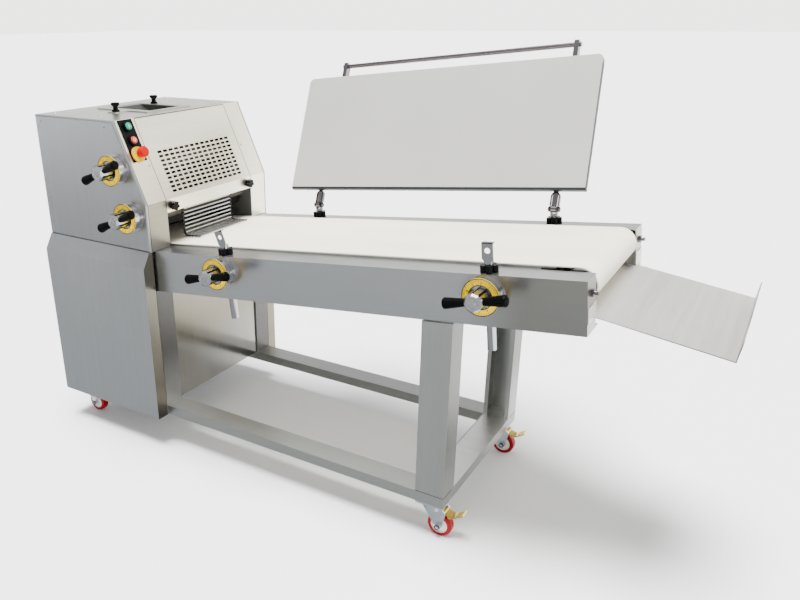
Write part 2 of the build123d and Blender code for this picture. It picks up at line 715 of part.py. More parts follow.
def gear_motor():
    """Motor with its gear case on a pedestal, standing on a shelf across the lower frame."""
    shelf = block(MOTOR_X - 110, MOTOR_X + 110, -FRAME_HALF, FRAME_HALF, FRAME_TOP, FRAME_TOP + 6)
    top = MOTOR_Z - 85
    pedestal = block(MOTOR_X - 80, MOTOR_X + 80, -150, GEAR_FACE - 20, FRAME_TOP + 6, top)
    pedestal -= block(MOTOR_X - 70, MOTOR_X + 70, -151, GEAR_FACE, FRAME_TOP + 5, top - 8)
    case = block(MOTOR_X - 70, MOTOR_X + 70, 110, GEAR_FACE, top, MOTOR_Z + 75)
    case += bar_y(MOTOR_X, MOTOR_Z, 72, -150, 110)
    case += block(MOTOR_X - 50, MOTOR_X + 50, -120, 60, top, MOTOR_Z)
    case -= bar_y(MOTOR_X, MOTOR_Z, SHAFT_RADIUS + RUNNING, GEAR_FACE - 40, GEAR_FACE + 1)
    return [shelf, pedestal, case]


def motor_sprocket():
    shaft = bar_y(MOTOR_X, MOTOR_Z, SHAFT_RADIUS, GEAR_FACE - 39, CHAIN_Y + CHAIN_WIDTH + 4)
    return shaft + bar_y(MOTOR_X, MOTOR_Z, SPROCKET_RADIUS, CHAIN_Y, CHAIN_Y + CHAIN_WIDTH)


def drive_chain():
    """Endless chain round the motor, belt drive roller and fixed sheeting roller sprockets."""
    drive = TABLE * Pos(DRIVE_ROLLER_S, 0, ROLLER_N)
    centres = [(MOTOR_X, MOTOR_Z), (drive.position.X, drive.position.Z), *rear_rollers()]

    def loop(radius):
        circles = [Pos(*centre) * Circle(radius) for centre in centres]
        return make_hull(ShapeList(edge for circle in circles for edge in circle.edges()))

    inside = SPROCKET_RADIUS + FREE
    band = loop(inside + CHAIN_THICK) - loop(inside)
    return [Pos(0, CHAIN_Y, 0) * extrude(Plane.XZ * band, amount=CHAIN_WIDTH, dir=(0, 1, 0))]


# Cable gland in the rear cover
GLAND_X = -420.0
GLAND_Z = 220.0
GLAND_THREAD = 12.0
GLAND_BORE = 6.5
GLAND_OUT = 26.0
GLAND_IN = 14.0


def cable_gland():
    face = CABINET_HALF
    gland = bar_y(GLAND_X, GLAND_Z, GLAND_THREAD, face - GLAND_IN, face)
    nut = Plane.XZ * RegularPolygon(17, 6)
    gland += Pos(GLAND_X, face, GLAND_Z) * extrude(nut, amount=GLAND_OUT, dir=(0, 1, 0))
    return [gland - bar_y(GLAND_X, GLAND_Z, GLAND_BORE, face - GLAND_IN - 1, face + GLAND_OUT + 1)]


# Table pieces, drawn in the table frame
def front_rail():
    """Channel open to the inside, with an end plate at the discharge and cut-outs for the rollers."""
    inner = RAIL_HALF - RAIL_FLANGE
    wall = FRAME_SHEET
    low = -RAIL_HEIGHT
    rail = block(RAIL_START, RAIL_END, -RAIL_HALF, -inner, low, 0)
    rail -= block(RAIL_START - 1, RAIL_END + 1, -RAIL_HALF + wall, -inner + 1, low + wall, -wall)
    rail += block(RAIL_END - wall, RAIL_END, -RAIL_HALF, -NOTCH_HALF, low, 0)
    rail -= block(NOTCH_START, RAIL_END + 1, -NOTCH_HALF, -inner + 1, -wall - 1, 1)
    rail -= block(RAIL_START - 1, HEAD_CUT, -RAIL_HALF + HEAD_FLANGE, -inner + 1, low - 1, 1)
    for s in COLUMN_S:
        rail -= bar_z(s, -COLUMN_Y, COLUMN_RADIUS + RUNNING, low - 1, 1)
    rail -= bar_x(-TAKE_UP_Y, ROLLER_N, TAKE_UP_SCREW + FREE, RAIL_END - 10, RAIL_END + 1)
    return rail


def side_rails():
    front = front_rail()
    rear = other_side(front)
    for s in COLUMN_S:
        front -= bar_y(s, RAIL_DIAL_N, SPINDLE + 0.6, -RAIL_HALF - 1, -RAIL_HALF + 10)
    return [front, rear]


TAKE_UP_Y = 278.0
TAKE_UP_SCREW = 6.0
BLOCK_HALF = 25.0
TIES = (100.0, 700.0, 1320.0)


def conveyor_bed():
    """Slider plate under the belt and the ties that join the rails."""
    inner = RAIL_HALF - RAIL_FLANGE
    left = DRIVE_ROLLER_S + BELT_INNER + 15
    right = END_ROLLER_S - BELT_INNER - 15
    top = BELT_TOP - BELT_THICK - FREE
    bed = block(left, right, -inner - 6, inner + 6, 0, top)
    web = RAIL_HALF - FRAME_SHEET
    low = -RAIL_HEIGHT + FRAME_SHEET
    ties = []
    for s in TIES:
        tie = block(s - 20, s + 20, -web, web, low, low + 25)
        tie -= block(s - 18, s + 18, -web - 1, web + 1, low + 2, low + 23)
        ties.append(tie)
    return [bed, *ties]


def conveyor_belt():
    span = END_ROLLER_S - DRIVE_ROLLER_S
    band = SlotCenterToCenter(span, 2 * (BELT_INNER + BELT_THICK)) - SlotCenterToCenter(span, 2 * BELT_INNER)
    middle = Pos((END_ROLLER_S + DRIVE_ROLLER_S) / 2, -BELT_HALF, ROLLER_N)
    return [middle * extrude(Plane.XZ * band, amount=2 * BELT_HALF, dir=(0, 1, 0))]


def belt_take_ups():
    """Bearing blocks of both belt rollers, and the screws that draw the end roller outwards."""
    web = RAIL_HALF - FRAME_SHEET
    pieces = []
    for s, inner in ((END_ROLLER_S, NOTCH_HALF + 8), (DRIVE_ROLLER_S, CHAIN_Y + CHAIN_WIDTH + 6)):
        low, high = ROLLER_N - BLOCK_HALF, ROLLER_N + BLOCK_HALF
        piece = block(s - BLOCK_HALF, s + BLOCK_HALF, -web, -inner, low, high)
        piece -= bar_y(s, ROLLER_N, SHAFT_RADIUS + RUNNING, -web - 1, -inner + 1)
        pieces.append(piece)
    screw = bar_x(-TAKE_UP_Y, ROLLER_N, TAKE_UP_SCREW, END_ROLLER_S + BLOCK_HALF, RAIL_END + 18)
    head = Plane.YZ * RegularPolygon(11, 6)
    screw += Pos(RAIL_END, -TAKE_UP_Y, ROLLER_N) * extrude(head, amount=8, dir=(1, 0, 0))
    pieces.append(screw)
    return pieces + [other_side(piece) for piece in pieces]


def belt_roller(s, with_sprocket):
    half = BELT_HALF + 4
    end = RAIL_HALF - FRAME_SHEET - 6
    roller = bar_y(s, ROLLER_N, BELT_ROLLER, -half, half) + bar_y(s, ROLLER_N, SHAFT_RADIUS, -end, end)
    if with_sprocket:
        roller += bar_y(s, ROLLER_N, SPROCKET_RADIUS, CHAIN_Y, CHAIN_Y + CHAIN_WIDTH)
    return roller


# Columns, lock knobs and the crank that lifts a front column
HOOK_BOTTOM = LOCK_KNOB_HEIGHT + 2
HOOK_HEIGHT = 60.0
HOOK_WIDTH = 32.0
HOOK_FOOT = 8.0
HOOK_LEAN = (16.0, 0.0)
TONGUE_BACK = 4.0
YOKE_HALF = 34.0
PIN_RADIUS = 4.0


def yoke_n():
    """Height of the yoke's slot at rest, level with the crank pin."""
    return RAIL_DIAL_N + CRANK * sin(radians(CRANK_REST))


def front_column(s, lean):
    """Column with a tongue at its top for the hook, and a slotted yoke for the crank pin."""
    top = HOOK_BOTTOM + 12
    rod = bar_z(s, -COLUMN_Y, COLUMN_RADIUS, COLUMN_BOTTOM, top)
    flat = -COLUMN_Y - COLUMN_RADIUS + 3.5
    rod -= block(s - 20, s + 20, flat - 20, flat, HOOK_BOTTOM, top + 1)
    rod -= block(s - 20, s + 20, -COLUMN_Y + TONGUE_BACK, -COLUMN_Y + 20, HOOK_BOTTOM, top + 1)
    middle = yoke_n()
    front = -COLUMN_Y - COLUMN_RADIUS - 3
    gap = PIN_RADIUS + CRANK_SLACK
    rod += block(s - YOKE_HALF, s + YOKE_HALF, front, -COLUMN_Y, middle - 14, middle + 14)
    slot_half = CRANK + PIN_RADIUS + 2
    rod -= block(s - slot_half, s + slot_half, front - 1, front + 10, middle - gap, middle + gap)
    half = HOOK_WIDTH / 2
    reach = HOOK_HEIGHT - HOOK_FOOT
    body = Pos(0, (reach + HOOK_FOOT) / 2) * Rectangle(HOOK_WIDTH, reach - HOOK_FOOT)
    face = Plane.XZ * make_hull(Circle(HOOK_FOOT).edges() + body.edges())
    hook = Pos(0, flat - FRAME_SHEET, 0) * extrude(face, amount=FRAME_SHEET, dir=(0, 1, 0))
    hook += block(-half, half, flat, flat + 10, reach - FRAME_SHEET, reach)
    hook -= bar_y(0, reach - 22, 8, flat - 5, flat + 1)
    return [rod, Pos(s, 0, HOOK_BOTTOM + HOOK_FOOT) * Rot(0, -lean, 0) * hook]


def rear_column(s):
    """Column with a clevis and its pin."""
    bottom = LOCK_KNOB_HEIGHT + 2
    rod = bar_z(s, COLUMN_Y, COLUMN_RADIUS, COLUMN_BOTTOM, bottom)
    rod += block(s - 17, s + 17, COLUMN_Y - 14, COLUMN_Y + 14, bottom, HINGE_N + 14)
    slot = LUG_HALF + 0.2
    rod -= block(s - slot, s + slot, COLUMN_Y - 15, COLUMN_Y + 15, HINGE_N - LUG_RADIUS - 0.5, HINGE_N + 15)
    return rod + bar_x(COLUMN_Y, HINGE_N, HINGE_BOLT, s - 20, s + 20)


def lock_knob(s, y):
    knob = lobes(25, 9, 5, LOCK_KNOB_HEIGHT)
    knob -= bar_z(0, 0, COLUMN_RADIUS + RUNNING, -1, LOCK_KNOB_HEIGHT + 1)
    return Pos(s, y, FREE) * knob


def rail_dial_handle(s):
    """Rail dial: its spindle ends in a crank disc whose pin sits in the column's yoke."""
    pieces = dial_handle(RAIL_HANDLE_TURN, FRAME_SHEET + 2)
    pieces = [Pos(s, -RAIL_HALF, RAIL_DIAL_N) * piece for piece in pieces]
    yoke_front = -COLUMN_Y - COLUMN_RADIUS - 3
    disc_front = -RAIL_HALF + FRAME_SHEET + 0.5
    disc = bar_y(s, RAIL_DIAL_N, CRANK + PIN_RADIUS + 2, disc_front, yoke_front - 0.5)
    pin_s = s + CRANK * cos(radians(CRANK_REST))
    pin = bar_y(pin_s, yoke_n(), PIN_RADIUS, yoke_front - 1, yoke_front + 9)
    pieces[0] = pieces[0] + disc + pin
    return pieces


# Pressure board, drawn lowered and then swung up about the clevis pins
LUG_HALF = 8.0
LUG_RADIUS = 11.5
HINGE_BOLT = 5.0
STRAP_THICK = 8.0
HANDLE_RADIUS = 8.0


def raised(shape):
    hinge = Pos(0, COLUMN_Y, HINGE_N)
    return hinge * Rot(-RAISED, 0, 0) * hinge.inverse() * shape


def board_edges():
    """Rear and front edges of the lowered board."""
    rear = COLUMN_Y - BOARD_SETBACK
    return rear, rear - BOARD_WIDTH


def pressure_board():
    rear, front = board_edges()
    board = block(BOARD_LEFT, BOARD_RIGHT, front, rear, PRESS_N, PRESS_N + BOARD_THICK)
    front_corners = board.edges().filter_by(Axis.Z).group_by(Axis.Y)[0]
    return [raised(fillet(front_corners, BOARD_CORNER))]


def board_frame():
    """Two straps from the clevis pins across the board, and the handle bar on its two brackets."""
    rear, front = board_edges()
    low = PRESS_N + BOARD_THICK
    high = low + STRAP_THICK
    bar_y_place = front - HANDLE_REACH
    bar_n = low - BOARD_THICK / 4
    pieces = []
    for s in COLUMN_S:
        left, right = s - LUG_HALF, s + LUG_HALF
        strap = block(left, right, front + 60, COLUMN_Y, low, high)
        strap += bar_x(COLUMN_Y, HINGE_N, LUG_RADIUS, left, right)
        strap -= bar_x(COLUMN_Y, HINGE_N, HINGE_BOLT + RUNNING, left - 1, right + 1)
        pieces.append(strap)
    tip = bar_y_place - HANDLE_RADIUS - 3
    for s in HANDLE_S:
        left, right = s - LUG_HALF, s + LUG_HALF
        bracket = block(left, right, tip, front + 50, low, high)
        bracket += block(left, right, tip, front - 2, bar_n - HANDLE_RADIUS - 4, high)
        bracket -= bar_x(bar_y_place, bar_n, HANDLE_RADIUS, left - 1, right + 1)
        pieces.append(bracket)
    reach = LUG_HALF + 6
    bar = bar_x(bar_y_place, bar_n, HANDLE_RADIUS, HANDLE_S[0] - reach, HANDLE_S[-1] + reach)
    return [raised(piece) for piece in [*pieces, bar]]


# Discharge tray
def discharge_tray():
    """Sloping floor with an upturned lip, a tongue under the belt, and two ears on the rail ends."""
    ear_top = -TRAY_DROP + 42
    inner = NOTCH_HALF + 2
    ear = block(RAIL_END, RAIL_END + SHEET, -RAIL_HALF + 3, -inner, -TRAY_DROP, ear_top)
    ears = [TABLE * ear, TABLE * other_side(ear)]
    start = TABLE * Pos(RAIL_END + SHEET / 2, 0, -TRAY_DROP)
    floor = block(0, TRAY_LENGTH, -TRAY_HALF, TRAY_HALF, 0, SHEET)
    floor += block(TRAY_LENGTH - SHEET, TRAY_LENGTH, -TRAY_HALF, TRAY_HALF, 0, TRAY_LIP)
    floor += block(-TRAY_TONGUE, 1, -NOTCH_HALF + 4, NOTCH_HALF - 4, 0, SHEET)
    tray = Pos(*start.position) * Rot(0, TRAY_SLOPE, 0) * floor
    return [tray + ears[0] + ears[1]]


def on_table(pieces):
    return [TABLE * piece for piece in pieces]


def dial_places():
    """Where the four dials sit: two on the head's cover and two on the front rail."""
    head = [Pos(x, -HEAD_HALF, z) for x, z in DIAL_AXES]
    rail = [TABLE * Pos(s, -RAIL_HALF, RAIL_DIAL_N) for s in COLUMN_S]
    return head + rail


def build():
    """All nodes by name, each a list of solids."""
    castors = {
        "front_left": Pos(CASTOR_X[0], -CASTOR_Y, 0),
        "rear_left": Pos(CASTOR_X[0], CASTOR_Y, 0),
        "front_right": Pos(CASTOR_X[1], -CASTOR_Y, 0),
        "rear_right": Pos(CASTOR_X[1], CASTOR_Y, 0),
    }
    nodes = {
        "lower_frame": lower_frame(),
        "legs": legs(),
        "cabinet_panels": cabinet_panels(),
        "head_side_covers": head_side_covers(),
        "head_hood": head_hood(),
        "head_inner_plates": head_inner_plates(),
        "head_front_strips": head_front_strips(),
        "head_cross_bars": head_cross_bars(),
        "infeed_chute": infeed_chute(),
        "control_plate": control_plate(),
        "estop_collar": estop_collar(),
        "dial_housings": [place * dial_housing() for place in dial_places()],
        "dial_scales": [place * dial_scale() for place in dial_places()],
        "side_rails": on_table(side_rails()),
        "conveyor_bed": on_table(conveyor_bed()),
        "conveyor_belt": on_table(conveyor_belt()),
        "belt_take_ups": on_table(belt_take_ups()),
        "gear_motor": gear_motor(),
        "drive_chain": drive_chain(),
        "cable_gland": cable_gland(),
        "castor_plates": [place * castor_plate() for place in castors.values()],
        "discharge_tray": discharge_tray(),
        "motor_sprocket": [motor_sprocket()],
        "belt_drive_roller": on_table([belt_roller(DRIVE_ROLLER_S, True)]),
        "belt_end_roller": on_table([belt_roller(END_ROLLER_S, False)]),
        "guard_cover": [guard_cover()],
        "guard_knob_front": [guard_knob(-GUARD_KNOB_Y)],
        "guard_knob_rear": [guard_knob(GUARD_KNOB_Y)],
        "estop_button": [estop_button()],
        "curling_mat": [curling_mat()],
        "front_columns": on_table([p for s, lean in zip(COLUMN_S, HOOK_LEAN) for p in front_column(s, lean)]),
        "rear_columns": on_table([rear_column(s) for s in COLUMN_S]),
        "pressure_board": on_table(pressure_board()),
        "board_frame": on_table(board_frame()),
    }
    for name, along in BUTTONS.items():
        nodes[name] = [push_button(along)]
    for level, axis, front, rear in zip(("upper", "lower"), DIAL_AXES, front_rollers(), rear_rollers()):
        nodes[f"{level}_gap_handle"] = head_dial_handle(axis)
        nodes[f"{level}_front_roller"] = [adjustable_roller(front)]
        nodes[f"{level}_rear_roller"] = [fixed_roller(rear)]
    for end, s in zip(("left", "right"), COLUMN_S):
        nodes[f"board_handle_{end}"] = on_table(rail_dial_handle(s))
        nodes[f"lock_knob_front_{end}"] = on_table([lock_knob(s, -COLUMN_Y)])
        nodes[f"lock_knob_rear_{end}"] = on_table([lock_knob(s, COLUMN_Y)])
    for end, (x, y) in zip(("front", "rear"), HOPPER_KNOBS):
        nodes[f"hopper_knob_{end}"] = [Pos(x, y, HEAD_TOP + FLANGE_SHEET) * hopper_knob()]
    for corner, place in castors.items():
        with_brake = corner.endswith("right")
        nodes[f"castor_fork_{corner}"] = [place * castor_fork(with_brake)]
        nodes[f"castor_wheel_{corner}"] = [place * castor_wheel()]
        if with_brake:
            nodes[f"brake_pedal_{corner}"] = [place * brake_pedal()]
    return nodes


def centred(nodes):
    """Move everything so that the box round all pieces stands centred on the origin."""
    everything = Compound(children=[piece for pieces in nodes.values() for piece in pieces])
    box = everything.bounding_box()
    shift = Pos(-(box.min.X + box.max.X) / 2, -(box.min.Y + box.max.Y) / 2, -box.min.Z)
    return shift, {name: [shift * piece for piece in pieces] for name, pieces in nodes.items()}


def main():
    os.makedirs("parts", exist_ok=True)
    shift, nodes = centred(build())
    print("moved by", [round(value, 4) for value in shift.position])
    for name, pieces in nodes.items():
        solids = [solid for piece in pieces for solid in piece.solids()]
        shape = solids[0] if len(solids) == 1 else Compound(children=solids)
        export_step(shape, f"parts/{name}.step")
    print(len(nodes), "nodes written")


if __name__ == "__main__":
    main()
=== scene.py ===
"""Looks of a dough moulder: satin stainless sheets, a cream belt, yellow dials, castors and a pale studio."""
import json
from math import cos, pi, radians, sin

import bmesh
import bpy
from bpy.props import FloatProperty, FloatVectorProperty, IntProperty, PointerProperty
from bpy.types import Operator, Panel, PropertyGroup
from mathutils import Matrix, Vector


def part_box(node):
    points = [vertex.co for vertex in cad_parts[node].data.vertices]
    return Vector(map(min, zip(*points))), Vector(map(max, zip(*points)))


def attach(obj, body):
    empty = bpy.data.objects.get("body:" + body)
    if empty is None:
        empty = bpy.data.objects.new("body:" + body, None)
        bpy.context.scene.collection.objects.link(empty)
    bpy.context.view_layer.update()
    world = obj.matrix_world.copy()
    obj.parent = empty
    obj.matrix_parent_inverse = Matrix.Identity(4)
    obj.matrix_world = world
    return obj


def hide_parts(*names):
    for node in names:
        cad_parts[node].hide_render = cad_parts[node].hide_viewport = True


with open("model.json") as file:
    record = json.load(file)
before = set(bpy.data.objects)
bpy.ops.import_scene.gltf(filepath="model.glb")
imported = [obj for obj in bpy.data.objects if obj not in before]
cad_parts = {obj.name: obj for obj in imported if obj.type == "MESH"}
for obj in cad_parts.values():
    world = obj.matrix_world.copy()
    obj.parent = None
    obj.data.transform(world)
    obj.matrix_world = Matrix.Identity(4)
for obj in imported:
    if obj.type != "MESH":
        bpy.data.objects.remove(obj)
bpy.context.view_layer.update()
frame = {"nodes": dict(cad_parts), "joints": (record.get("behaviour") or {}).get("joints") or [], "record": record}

bl_info = {
    "name": "Dough moulder looks",
    "version": (1, 0, 0),
    "blender": (4, 5, 0),
    "location": "3D View > Sidebar > Moulder",
    "description": "Finishes, fittings and a studio for a dough moulder",
    "category": "Object",
}

NODES = frame["nodes"]
BODIES = frame["record"]["behaviour"]["bodies"]
BODY_OF = {node: body for body, nodes in BODIES.items() for node in nodes}
SLOT_OF = {part["node"]: part["material_slot"] for part in frame["record"]["subparts"]}
JOINTS = {joint["name"]: joint for joint in frame["joints"]}
MM = 0.001

# Directions of the machine: along and out of the belt table, and out of the head's sloping front
ALONG_TABLE = Vector(JOINTS["board_swing"]["axis"])
OUT_OF_TABLE = Vector(JOINTS["board_lift"]["axis"])
OUT_OF_SLOPE = -Vector(JOINTS["start_button_press"]["axis"])
DOWN_SLOPE = Vector((OUT_OF_SLOPE.z, 0, -OUT_OF_SLOPE.x))
FRONT = Vector((0, -1, 0))
REAR = Vector((0, 1, 0))
RIGHT = Vector((1, 0, 0))
UP = Vector((0, 0, 1))

CASTORS = ("front_left", "rear_left", "front_right", "rear_right")
BRAKED = ("front_right", "rear_right")
HEAD_DIALS = {"upper_gap": "upper_gap_dial", "lower_gap": "lower_gap_dial"}
RAIL_DIALS = {"board_dial_left_turn": "board_dial_left", "board_dial_right_turn": "board_dial_right"}

# Length of the head's deck, and from the middle to the inner side of a left leg
DECK_LENGTH = 397 * MM
LEG_INSIDE = 245 * MM
HALF_TURN = pi
WHOLE_TURN = 2 * pi


def joint_place(name):
    return Vector(JOINTS[name]["pos_m"])


def corners_of(node):
    return [vertex.co for vertex in NODES[node].data.vertices]


def span(node, way):
    """Lowest and highest reach of a CAD node along a direction."""
    reaches = [corner.dot(way) for corner in corners_of(node)]
    return min(reaches), max(reaches)


def brow():
    """Where the head's deck meets its sloping front, in the machine's middle plane."""
    low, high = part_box("head_side_covers")
    return Vector((low.x + DECK_LENGTH, 0, high.z))


def colour(name, description, default):
    """A colour that the user may change."""
    return FloatVectorProperty(name=name, description=description, default=default,
                               subtype="COLOR", size=3, min=0.0, max=1.0)


def number(name, description, default, least=0.0, **more):
    return FloatProperty(name=name, description=description, default=default, min=least, **more)


def size(name, description, millimetres):
    """A length that the user may change."""
    return number(name, description, millimetres * MM, unit="LENGTH", precision=5)


def count(name, description, default, least):
    return IntProperty(name=name, description=description, default=default, min=least)


class StudioSettings(PropertyGroup):
    camera_place: FloatVectorProperty(
        name="Camera place", description="Where the camera stands", default=(1.2130, -2.1788, 1.5324),
        subtype="TRANSLATION", unit="LENGTH")
    camera_turn: FloatVectorProperty(
        name="Camera turn", description="How the camera is turned",
        default=(radians(68.497), radians(0.599), radians(32.558)), subtype="EULER")
    lens: number("Lens", "Focal length in millimetres", 33.95, 1.0, unit="CAMERA")
    shift: FloatVectorProperty(name="Shift", description="Sideways and upward lens shift", size=2,
                               default=(0.0947, 0.0121))
    floor_colour: colour("Floor", "Pale floor", (0.93, 0.93, 0.93))
    card_colour: colour("Shade card", "Card that the operator's side mirrors", (0.132, 0.139, 0.143))
    bright_wall: colour("Bright wall", "Studio wall behind the machine", (1.0, 0.99, 0.97))
    dim_wall: colour("Dim wall", "Studio wall that the operator's side faces", (0.05, 0.055, 0.06))
    ceiling: colour("Ceiling", "Studio ceiling", (0.19, 0.193, 0.196))
    wall_strength: number("Wall strength", "Light from the studio walls", 3.9)
    key_strength: number("Key", "Wide soft light from above", 12.0)
    key_width: number("Key width", "How wide the soft light is", radians(30), subtype="ANGLE")


class SteelSettings(PropertyGroup):
    cover: colour("Cover", "Side covers of the head", (0.385, 0.39, 0.40))
    cool: colour("Cool sheet", "Cabinet and rails", (0.47, 0.475, 0.485))
    # Painted light: a lighter, warmer copy of the sheet steel for the guard and the front sheets
    warm: colour("Warm sheet", "Front sheets and guard", (0.86, 0.81, 0.65))
    hood: colour("Hood", "Deck of the head", (0.46, 0.455, 0.41))
    legs: colour("Legs", "Legs and lower frame", (0.46, 0.465, 0.45))
    # Painted shade: a near black copy of the leg steel for faces that look along the belt
    webs: colour("Webs", "Sides of the legs that face the tray", (0.085, 0.084, 0.079))
    # Painted shade: a darker tone for the rails' end faces, the rails' operator side towards the tray and the near
    # strip's foot
    ends: colour("Ends", "End plates of the rails and feet of the strips", (0.25, 0.245, 0.215))
    # Painted light: a near white tone for the top of the cross channel
    cross: colour("Cross channel", "Top of the cross channel near the tray", (0.92, 0.92, 0.91))
    # Painted shade: a dark tone for the panel between the left legs and the cabinet's edges towards the tray
    panel: colour("Panel", "Panel between the left legs", (0.188, 0.173, 0.136))
    # Painted shade: a near black tone for the inside of the chute and the caps in the legs' tops
    inside: colour("Inside", "Chute in the head and caps of the legs", (0.10, 0.10, 0.097))
    plates: colour("Plates", "Roller plates inside the head", (0.32, 0.34, 0.34))
    # Painted shade: near black scraper blades behind the mat; the mat's rod ends and links take this colour too
    blades: colour("Blades", "Scraper blades and the oiled links of the mat", (0.02, 0.02, 0.02))
    bars: colour("Dark bar", "Handle bar and straps of the board", (0.20, 0.18, 0.19))
    hinges: colour("Hinges", "Rear columns with their clevises", (0.085, 0.085, 0.09))
    polished: colour("Polished", "Machined steel", (0.50, 0.50, 0.505))
    zinc: colour("Zinc", "Castor forks and plates", (0.66, 0.70, 0.74))
    roughness: number("Roughness", "Satin of the sheets", 0.36, max=1.0, subtype="FACTOR")
    grain: number("Grain", "How strongly the brushing shows", 0.5, max=1.0, subtype="FACTOR")


class ColourSettings(PropertyGroup):
    belt: colour("Belt", "Coated belt", (0.86, 0.81, 0.66))
    board: colour("Board", "Pressure board", (0.39, 0.387, 0.373))
    tray: colour("Tray", "Discharge tray", (0.62, 0.61, 0.58))
    # Painted shade: a darker copy of the tray's tone for its upturned lip
    lip: colour("Lip", "Upturned end of the tray", (0.43, 0.415, 0.38))
    board_edge: colour("Board edge", "Edges of the pressure board", (0.03, 0.035, 0.035))
    black: colour("Black", "Knobs, grips and control plate", (0.0015, 0.0015, 0.0017))
    scale: colour("Dial scale", "Dial rings", (0.72, 0.47, 0.0))
    collar: colour("Collar", "Ring under the stop mushroom", (0.70, 0.44, 0.0))
    start: colour("Start", "Start button", (0.01, 0.24, 0.15))
    stop: colour("Stop", "Stop button", (0.42, 0.04, 0.03))
    mushroom: colour("Mushroom", "Emergency stop head", (0.42, 0.001, 0.002))
    tread: colour("Tread", "Castor treads", (0.27, 0.0, 0.006))
    hub: colour("Wheel hub", "Castor hubs", (0.80, 0.79, 0.77))
    pedal: colour("Pedal", "Brake pedals", (0.62, 0.44, 0.10))
    # Painted shade: near black rollers, as they lie in the shade inside the head
    roller: colour("Roller", "Sheeting rollers", (0.07, 0.063, 0.052))
    motor: colour("Motor", "Gear motor", (0.11, 0.13, 0.145))
    chain: colour("Chain", "Oiled chain", (0.13, 0.125, 0.12))
    mark: colour("Marks", "White marks on the buttons", (0.86, 0.86, 0.84))


class FastenerSettings(PropertyGroup):
    screw_radius: size("Screw head", "Radius of a sheet screw's head", 4.5)
    screw_height: size("Screw height", "Height of a sheet screw's head", 2.6)
    socket_radius: size("Socket", "Radius of a screw's hexagon socket", 2.2)
    cap_radius: size("Hub cap", "Radius of the cap on a dial handle", 10.0)
    nut_radius: size("Axle nut", "Radius of a castor's axle nut", 10.5)


class DialSettings(PropertyGroup):
    outer: size("Ring", "Outer radius of a scale ring", 52.0)
    inner: size("Ring inside", "Inner radius of a scale ring", 32.0)
    depth: size("Depth", "From the mounting face to the ring's front", 43.0)
    hub_depth: size("Hub depth", "From the mounting face to the hub's front", 96.0)
    hub_radius: size("Hub radius", "Where the grips begin", 25.8)
    mark_count: count("Marks", "Lines round a ring", 40, 4)
    mark_length: size("Mark length", "Length of a scale line", 5.0)
    mark_width: size("Mark width", "Width of a scale line", 1.2)
    numeral: size("Numeral", "Height of a number", 8.5)
    numeral_count: count("Numbers", "Numbers round a ring", 10, 2)


class MatSettings(PropertyGroup):
    rod_radius: size("Rod", "Radius of a cross rod", 2.8)
    rod_pitch: size("Pitch", "From rod to rod", 14.0)
    half_width: size("Half width", "From the middle to a rod's end", 140.0)
    bend: size("Bend", "Radius where the mat turns onto the belt", 18.0)
    trail: size("Trail", "Length that lies on the belt", 72.0)
    link_width: size("Link width", "Width of a link between two rods", 8.0)
    link_thick: size("Link thickness", "Thickness of a link", 1.6)
    link_rows: count("Link rows", "Rows of links across the mat", 2, 2)
    edge: size("Edge", "From a rod's end to the outer row of links", 5.0)
    eye_radius: size("Eye", "Outer radius of an eye on the bar", 9.5)
    bar_radius: size("Bar", "Inner radius of an eye", 7.2)


class LouvreSettings(PropertyGroup):
    length: size("Length", "Length of a louvre", 150.0)
    radius: size("Radius", "How far a louvre stands out", 5.0)
    slit: size("Slit", "Half the height of the slit under a louvre", 1.6)
    pitch: size("Pitch", "From louvre to louvre", 26.0)
    rows: count("Rows", "Louvres one above the other", 7, 1)
    lowest: size("Lowest", "Height of the lowest louvre", 300.0)


class HingeSettings(PropertyGroup):
    rod: size("Rod", "Radius of a rear column", 12.5)
    neck: size("Neck", "Radius of the waist under the fork", 8.0)
    shoulder: size("Shoulder", "From the rail's top to the end of the full rod", 20.5)
    lug: size("Lug", "Radius of the strap's lug between the fork's ears", 11.5)
    ear: size("Ear", "Half depth of an ear and radius of its end", 8.0)
    fork_inner: size("Fork inside", "From the middle to an ear", 8.2)
    fork_half: size("Fork", "From the middle to the outside of an ear", 10.7)
    pin: size("Pin", "Radius of the hinge pin", 4.9)
    nut: size("Nut", "Radius of a nut on the pin", 8.0)
    stirrup_half: size("Stirrup", "From the middle to the outside of a stirrup", 15.2)
    stirrup_thick: size("Stirrup thickness", "Thickness of the flat bow", 4.0)
    stirrup_depth: size("Stirrup depth", "Width of the flat bow", 14.0)
    stirrup_reach: size("Stirrup reach", "From the pin to the bow's round end", 42.0)


class MoulderSettings(PropertyGroup):
    studio: PointerProperty(type=StudioSettings)
    steel: PointerProperty(type=SteelSettings)
    colours: PointerProperty(type=ColourSettings)
    fasteners: PointerProperty(type=FastenerSettings)
    dials: PointerProperty(type=DialSettings)
    mat: PointerProperty(type=MatSettings)
    louvres: PointerProperty(type=LouvreSettings)
    hinges: PointerProperty(type=HingeSettings)


def operator_pair(operation):
    """Methods that add a Math node with the wire as its first term, or as its second."""
    def first(self, other):
        return self.maths(operation, self, other)

    def second(self, other):
        return self.maths(operation, other, self)

    return first, second


